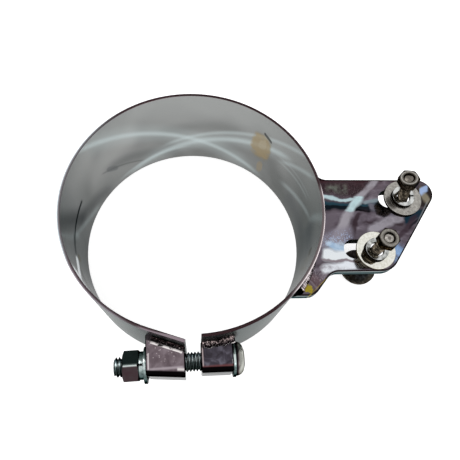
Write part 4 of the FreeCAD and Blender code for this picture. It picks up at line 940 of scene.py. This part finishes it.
# Bright zinc: brighter on top than the flat washers, clouded over 3 mm, and painted
# shade dark round the sides
springy, tree, shader, in_mm, facing = new_finish("bright_zinc_on_spring_washer", 0.14, "#6e6a62")
tone = cloudy_tone(tree, in_mm, [(0.38, "#8f908c"), (0.62, "#e4e6e4"), (0.5, "#c2c4c2")], 0.35, 3.0)
tone = dark_sided(tree, facing, tone, 0.75, 0.97, "#2c2823")
tree.links.new(tone, shader.inputs["Base Color"])

for (name, in_slot, axis, under_head), flat_finish in zip(bolts, (cream, satin)):
    level = PLATE_TOP + WASHER_LIFT
    for part, sizes, ease, sweep, finish in (
        ("flat_washer", WASHER, WASHER_EASE, 360.0, flat_finish),
        ("lock_washer", LOCK, LOCK_EASE, BRACKET_LOCK_SWEEP, springy),
    ):
        centre = in_slot + axis * ((level + sizes[2] / 2) / axis.z)
        bm = bmesh.new()
        turned_ring(bm, *sizes, ease, sweep)
        bmesh.ops.translate(bm, verts=bm.verts, vec=(centre.x, centre.y, level))
        ring = make_piece(bm, f"{name}_{part}_ring", finish, name + "_upper_washers")
        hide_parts(f"{name}_{part}")
        level += sizes[2]
    bm = bmesh.new()
    turned_ring(bm, *WASHER, WASHER_EASE)
    place_along(bm, under_head, axis)
    ring = make_piece(bm, name + "_lower_washer_ring", shaded, name + "_lower_washer")
    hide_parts(name + "_lower_washer")

# Stage: a pale floor under soft studio lamps. The floor is brighter to the eye and
# in mirrors than it is to the lamps, so that it reads white round its shadow.
FLOOR_DROP = 0.0002
FLOOR_LIFT = 0.7
SKY_LEVEL = 0.85
bpy.ops.mesh.primitive_plane_add(size=6.0, location=(0, 0, FLOOR - FLOOR_DROP))
floor = bpy.context.active_object
floor.name = "floor"
paper = bpy.data.materials.new("white_paper_floor")
paper.use_nodes = True
tree = paper.node_tree
shader = tree.nodes["Principled BSDF"]
shader.inputs["Base Color"].default_value = (0.86, 0.86, 0.86, 1)
shader.inputs["Roughness"].default_value = 0.9
shader.inputs["Specular IOR Level"].default_value = 0.0
shader.inputs["Emission Color"].default_value = (1, 1, 1, 1)
sight = add_node(tree, "LightPath")
seen = sight.outputs["Is Camera Ray"]
for other in ("Is Glossy Ray", "Is Transmission Ray"):
    seen = add_node(tree, "Math", {0: seen, 1: sight.outputs[other]}, operation="MAXIMUM")
lift = add_node(tree, "Math", {0: seen, 1: FLOOR_LIFT}, operation="MULTIPLY")
tree.links.new(lift.outputs[0], shader.inputs["Emission Strength"])
floor.data.materials.append(paper)

world = bpy.data.worlds.new("studio")
bpy.context.scene.world = world
world.use_nodes = True
sky = world.node_tree.nodes["Background"]
sky.inputs["Color"].default_value = (1, 1, 1, 1)
sky.inputs["Strength"].default_value = SKY_LEVEL

for name, place, width, power in (
    ("key_lamp", (-0.8, 0.55, 1.1), 1.0, 4.0),
    ("fill_lamp", (0.6, -0.9, 0.9), 0.8, 2.0),
):
    light = bpy.data.lights.new(name, "AREA")
    light.shape = "SQUARE"
    light.size = width
    light.energy = power
    lamp = bpy.data.objects.new(name, light)
    lamp.location = place
    lamp.rotation_euler = (Vector((0.03, 0.0, 0.0)) - Vector(place)).to_track_quat("-Z", "Y").to_euler()
    bpy.context.scene.collection.objects.link(lamp)

# Camera as solved from the photo: the band's two rims, its height and upright edges
camera = bpy.data.cameras.new("photo_camera")
camera.lens = 35.217
camera.sensor_width = 36.0
camera.clip_start = 0.01
eye = bpy.data.objects.new("photo_camera", camera)
forward = Vector((0.0796, 0.3746, -0.9238)).normalized()
right = Vector((0.9968, -0.0348, 0.0718))
right = (right - forward * right.dot(forward)).normalized()
up = right.cross(forward)
eye.matrix_world = Matrix((
    (right.x, up.x, -forward.x, 0.0),
    (right.y, up.y, -forward.y, -0.0955),
    (right.z, up.z, -forward.z, 0.2297),
    (0, 0, 0, 1),
))
bpy.context.scene.collection.objects.link(eye)
bpy.context.scene.camera = eye
bpy.context.scene.view_settings.view_transform = "Standard"
